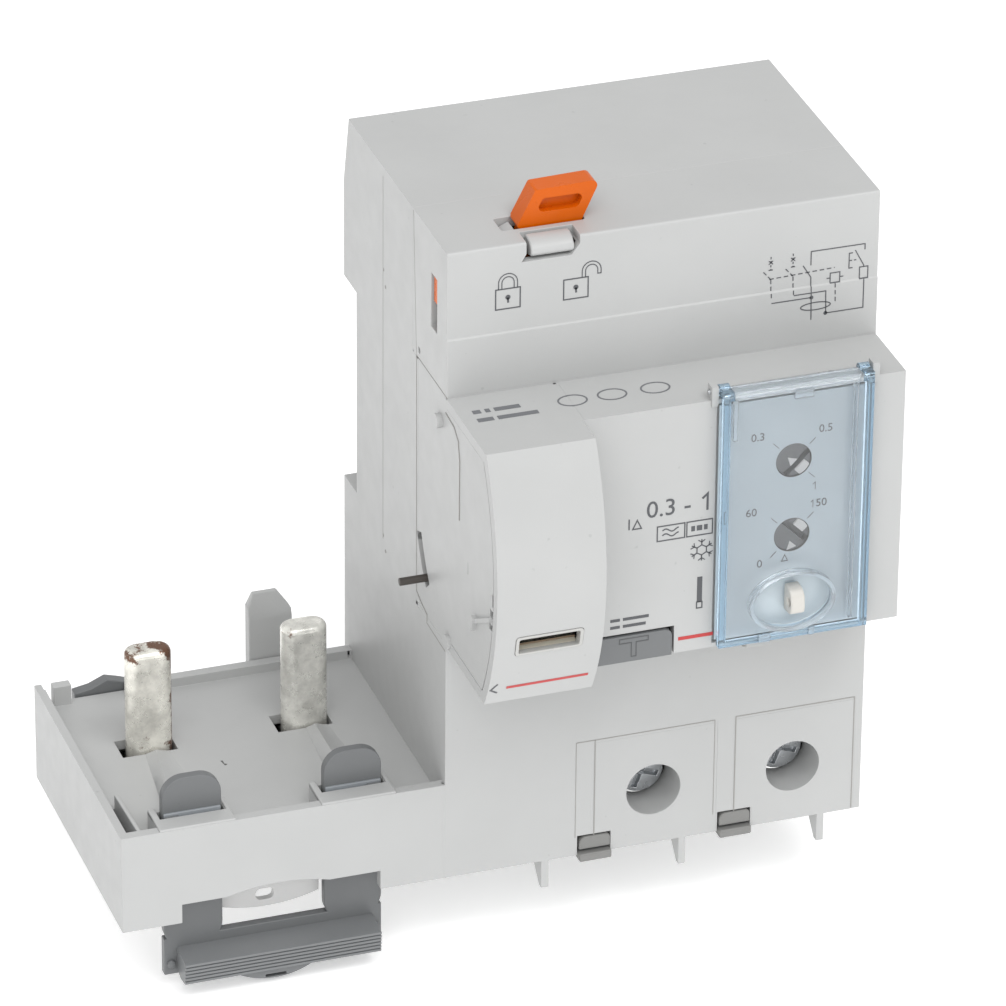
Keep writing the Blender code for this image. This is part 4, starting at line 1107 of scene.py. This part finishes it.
def breaker_latch():
    """Plate with two rounded tongues, and the ribbed grip with its boss."""
    low, high = LATCH_X
    front = LATCH_Y[0]
    latch = box(LATCH_X, LATCH_Y, (-77, -70.3))
    for post in LATCH_POSTS:
        outline = [(u, max(v, -70.6)) for u, v in rounded(post, (-72, TONGUE_TOP), TONGUE_R, 10)]
        fuse(latch, prism("Y", outline, *LATCH_Y))
    piece(latch, "breaker_latch_frame", "grey", 0.3, "latch", ["breaker_latch"], angle=40)
    for index, (left, right) in enumerate(LATCH_POSTS, 1):
        # The foot along each tongue's lip is painted lighter: a painted highlight.
        foot = box((left + 0.2, right - 0.2), (front - 0.35, front + 0.2), (TRAY_TOP - 0.4, TRAY_TOP + 0.75))
        piece(foot, f"latch_foot_{index}", "foot", 0.15, "latch")
        reach = (left + 0.3, left + 2.6) if index == 1 else (right - 2.6, right - 0.3)
        stop = box(reach, (front - 0.75, front), (TRAY_TOP - 0.4, TRAY_TOP + 0.35))
        piece(stop, f"latch_stop_{index}", "grey", 0.1, "latch")
    outline = [(front + 0.2, -72), (-43.2, -72.15), (-46.1, -72.5)]
    for i in range(RIBS):
        y, z = -46.8 + 0.05 * i, -72.65 - RIB_PITCH * i
        outline += [(y, z), (y - 0.05, z - 0.36), (y + 0.35, z - 0.42), (y + 0.35, z - RIB_PITCH + 0.06)]
    outline += [(-45.4, -76.7), (-43.8, -76.9), (front + 0.2, -76.1)]
    grip = prism("X", outline, low + 2.1, high - 1.5)
    # Grip and boss take the lighter copy of the latch's plastic: painted light.
    piece(grip, "breaker_latch_grip", "grip", 0.1, "latch", segments=2)
    boss = prism("Y", arc((-63.8, -66), 12.6, 236, 304, 24), -45.4, front + 0.4)
    cut(boss, box((-65.5, -62), (-46, -44), (-78.3, -77.8)))
    piece(boss, "breaker_latch_boss", "grip", 0.25, "latch")
    places = ((low + 1.1, -74.9), (high - 1.2, -74.3))
    lugs = [rod("Y", place, 0.7, front - 0.6, front + 0.3, 20) for place in places]
    piece(gather(*lugs), "breaker_latch_lugs", "grey", 0.2, "latch")


def latch_bow():
    """White strip that sags in the middle, with a slot."""
    lower = arc((-63.45, -41.3), 27.1, 251.5, 288.5, 28)
    bow = prism("Y", [(-54.8, -59.8), (-72.1, -59.8), *lower], -39.9, -38.7)
    cut(bow, prism("Y", rounded((-65.4, -62.4), (-67.1, -65.1), 0.85), -41, -38))
    piece(bow, "latch_bow_strip", "white", 0.15, nodes=["latch_bow"])


def rear_guide():
    outline = [(-52.6, -60), (-52.6, -40.2), (-51.5, -38), (-47.4, -38), (-45.2, -41.2), (-45.2, -60)]
    guide = prism("Y", outline, 4.8, 7.1)
    cut(guide, prism("X", [(4, -37), (6.3, -37), (6.3, -38), (4.8, -42.4), (4, -42.4)], -54, -44))
    piece(guide, "rear_guide_moulding", "housing", 0.2, nodes=["rear_guide"])


# The whole object

upper_front()
seam_fillers()
lock_lever()
catch_tongue()
printed(padlock(-27.7, False) + padlock(-16.6, True), "padlock_marks")
printed(wiring_picture(), "wiring_marks")
coupling_cover()
side_plate()
left_wall_lines()
indicator()
nose_marks()
test_button()
settings_plate()
settings_marks()
selector("current", KNOB_ZS[0], 135, (-0.5, 0.3))
selector("delay", KNOB_ZS[1], 225, (1, 1.5))
settings_cover()
sealing_lug()
for pole in (0, 1):
    terminal(pole)
    terminal_seams(pole)
    input_blade(pole)
    ramp(pole)
    pocket(pole)
terminal_lines()
tray_details()
breaker_latch()
latch_bow()
rear_guide()

DRESSED = (
    ("housing", 0.4, "main_housing"), ("housing", 0.3, "nose_cover connection_tray"),
    ("housing", 0.15, "terminal_cover_1 terminal_cover_2"), ("white", 0.2, "tray_bottom_plate"),
    ("grey", 0.3, "rail_clip"), ("grey", 0.2, "rear_clip"), ("dark", 0.25, "trip_lever"),
    ("white", 0, "toroid_case toroid_lid"), ("core", 0, "toroid_core"), ("copper", 0, "secondary_winding"),
    ("black", 0.2, "trip_relay test_resistor filter_capacitor delay_capacitor"),
    ("black", 0.15, "current_trimmer delay_trimmer"), ("board", 0, "circuit_board"),
    ("tin", 0.1, "test_contact"), ("tin", 0.15, "terminal_bar_1 terminal_bar_2"),
    ("steel", 0.2, "terminal_cage_1 terminal_cage_2"), ("steel", 0.15, "relay_plunger"),
    ("steel", 0.1, "lock_pivot trip_axle case_screw_1 case_screw_2 case_screw_3 case_screw_4"),
    ("steel", 0.1, "tray_screw_1 tray_screw_2"), ("steel", 0, "cover_hinge_pin test_spring"),
)
for look, edge, names in DRESSED:
    for name in names.split():
        dress(name, look, edge)


# Studio

KEY, FILL, SKY, FLOOR_GLOW = 4.8, 10.5, 0.73, 0.35
CENTRE = Vector((-0.02, -0.03, -0.01))
FOCAL_LENGTH = 273.02
CAMERA_PLACE = (-0.365915, -1.033322, 0.580136)
CAMERA_AXES = (
    (0.94698605, -0.32117877, 0.00784946),
    (0.14905282, 0.46085914, 0.87486691),
    (-0.28460618, -0.82731677, 0.48429978),
)


def area_light(name, offset, size, power):
    """A square lamp at this offset from the object's centre, which it faces."""
    lamp = bpy.data.lights.new(name, "AREA")
    lamp.shape = "SQUARE"
    lamp.size = size
    lamp.energy = power
    item = linked(name, lamp)
    item.location = CENTRE + offset
    item.rotation_euler = (CENTRE - item.location).to_track_quat("-Z", "Y").to_euler()


def studio():
    """Pale floor, even sky and two soft lamps."""
    bpy.ops.mesh.primitive_plane_add(size=12, location=(0, 0, cad_box[0][2] - 0.001))
    floor = bpy.context.object
    floor.name = "floor"
    look = Finish("floor_white")
    tone = look.blend(look.noise(2, 2), (0.93, 0.93, 0.93), (0.95, 0.95, 0.95))
    look.fill(look.shader, Base_Color=tone, Emission_Color=tone)
    look.fill(look.shader, Emission_Strength=FLOOR_GLOW, Roughness=0.9, Specular_IOR_Level=0)
    floor.data.materials.append(look.material)
    world = bpy.data.worlds.new("studio")
    world.use_nodes = True
    sky = world.node_tree.nodes["Background"]
    sky.inputs["Color"].default_value = (1, 1, 1, 1)
    sky.inputs["Strength"].default_value = SKY
    world_scene.world = world
    area_light("key", 1.4 * Vector((0.285, -0.484, 0.827)), 0.5, KEY)
    area_light("fill", 1.5 * Vector((-0.24, -0.62, 0.75)), 1.2, FILL)


def camera():
    """The photograph's view: a long lens, and the directions of its right, top and back."""
    lens = bpy.data.cameras.new("camera")
    lens.sensor_width = 36
    lens.lens = FOCAL_LENGTH
    lens.clip_start = 0.05
    item = linked("camera", lens)
    item.matrix_world = Matrix.Translation(CAMERA_PLACE) @ Matrix(CAMERA_AXES).transposed().to_4x4()
    world_scene.camera = item


studio()
camera()
world_scene.view_settings.view_transform = "Standard"
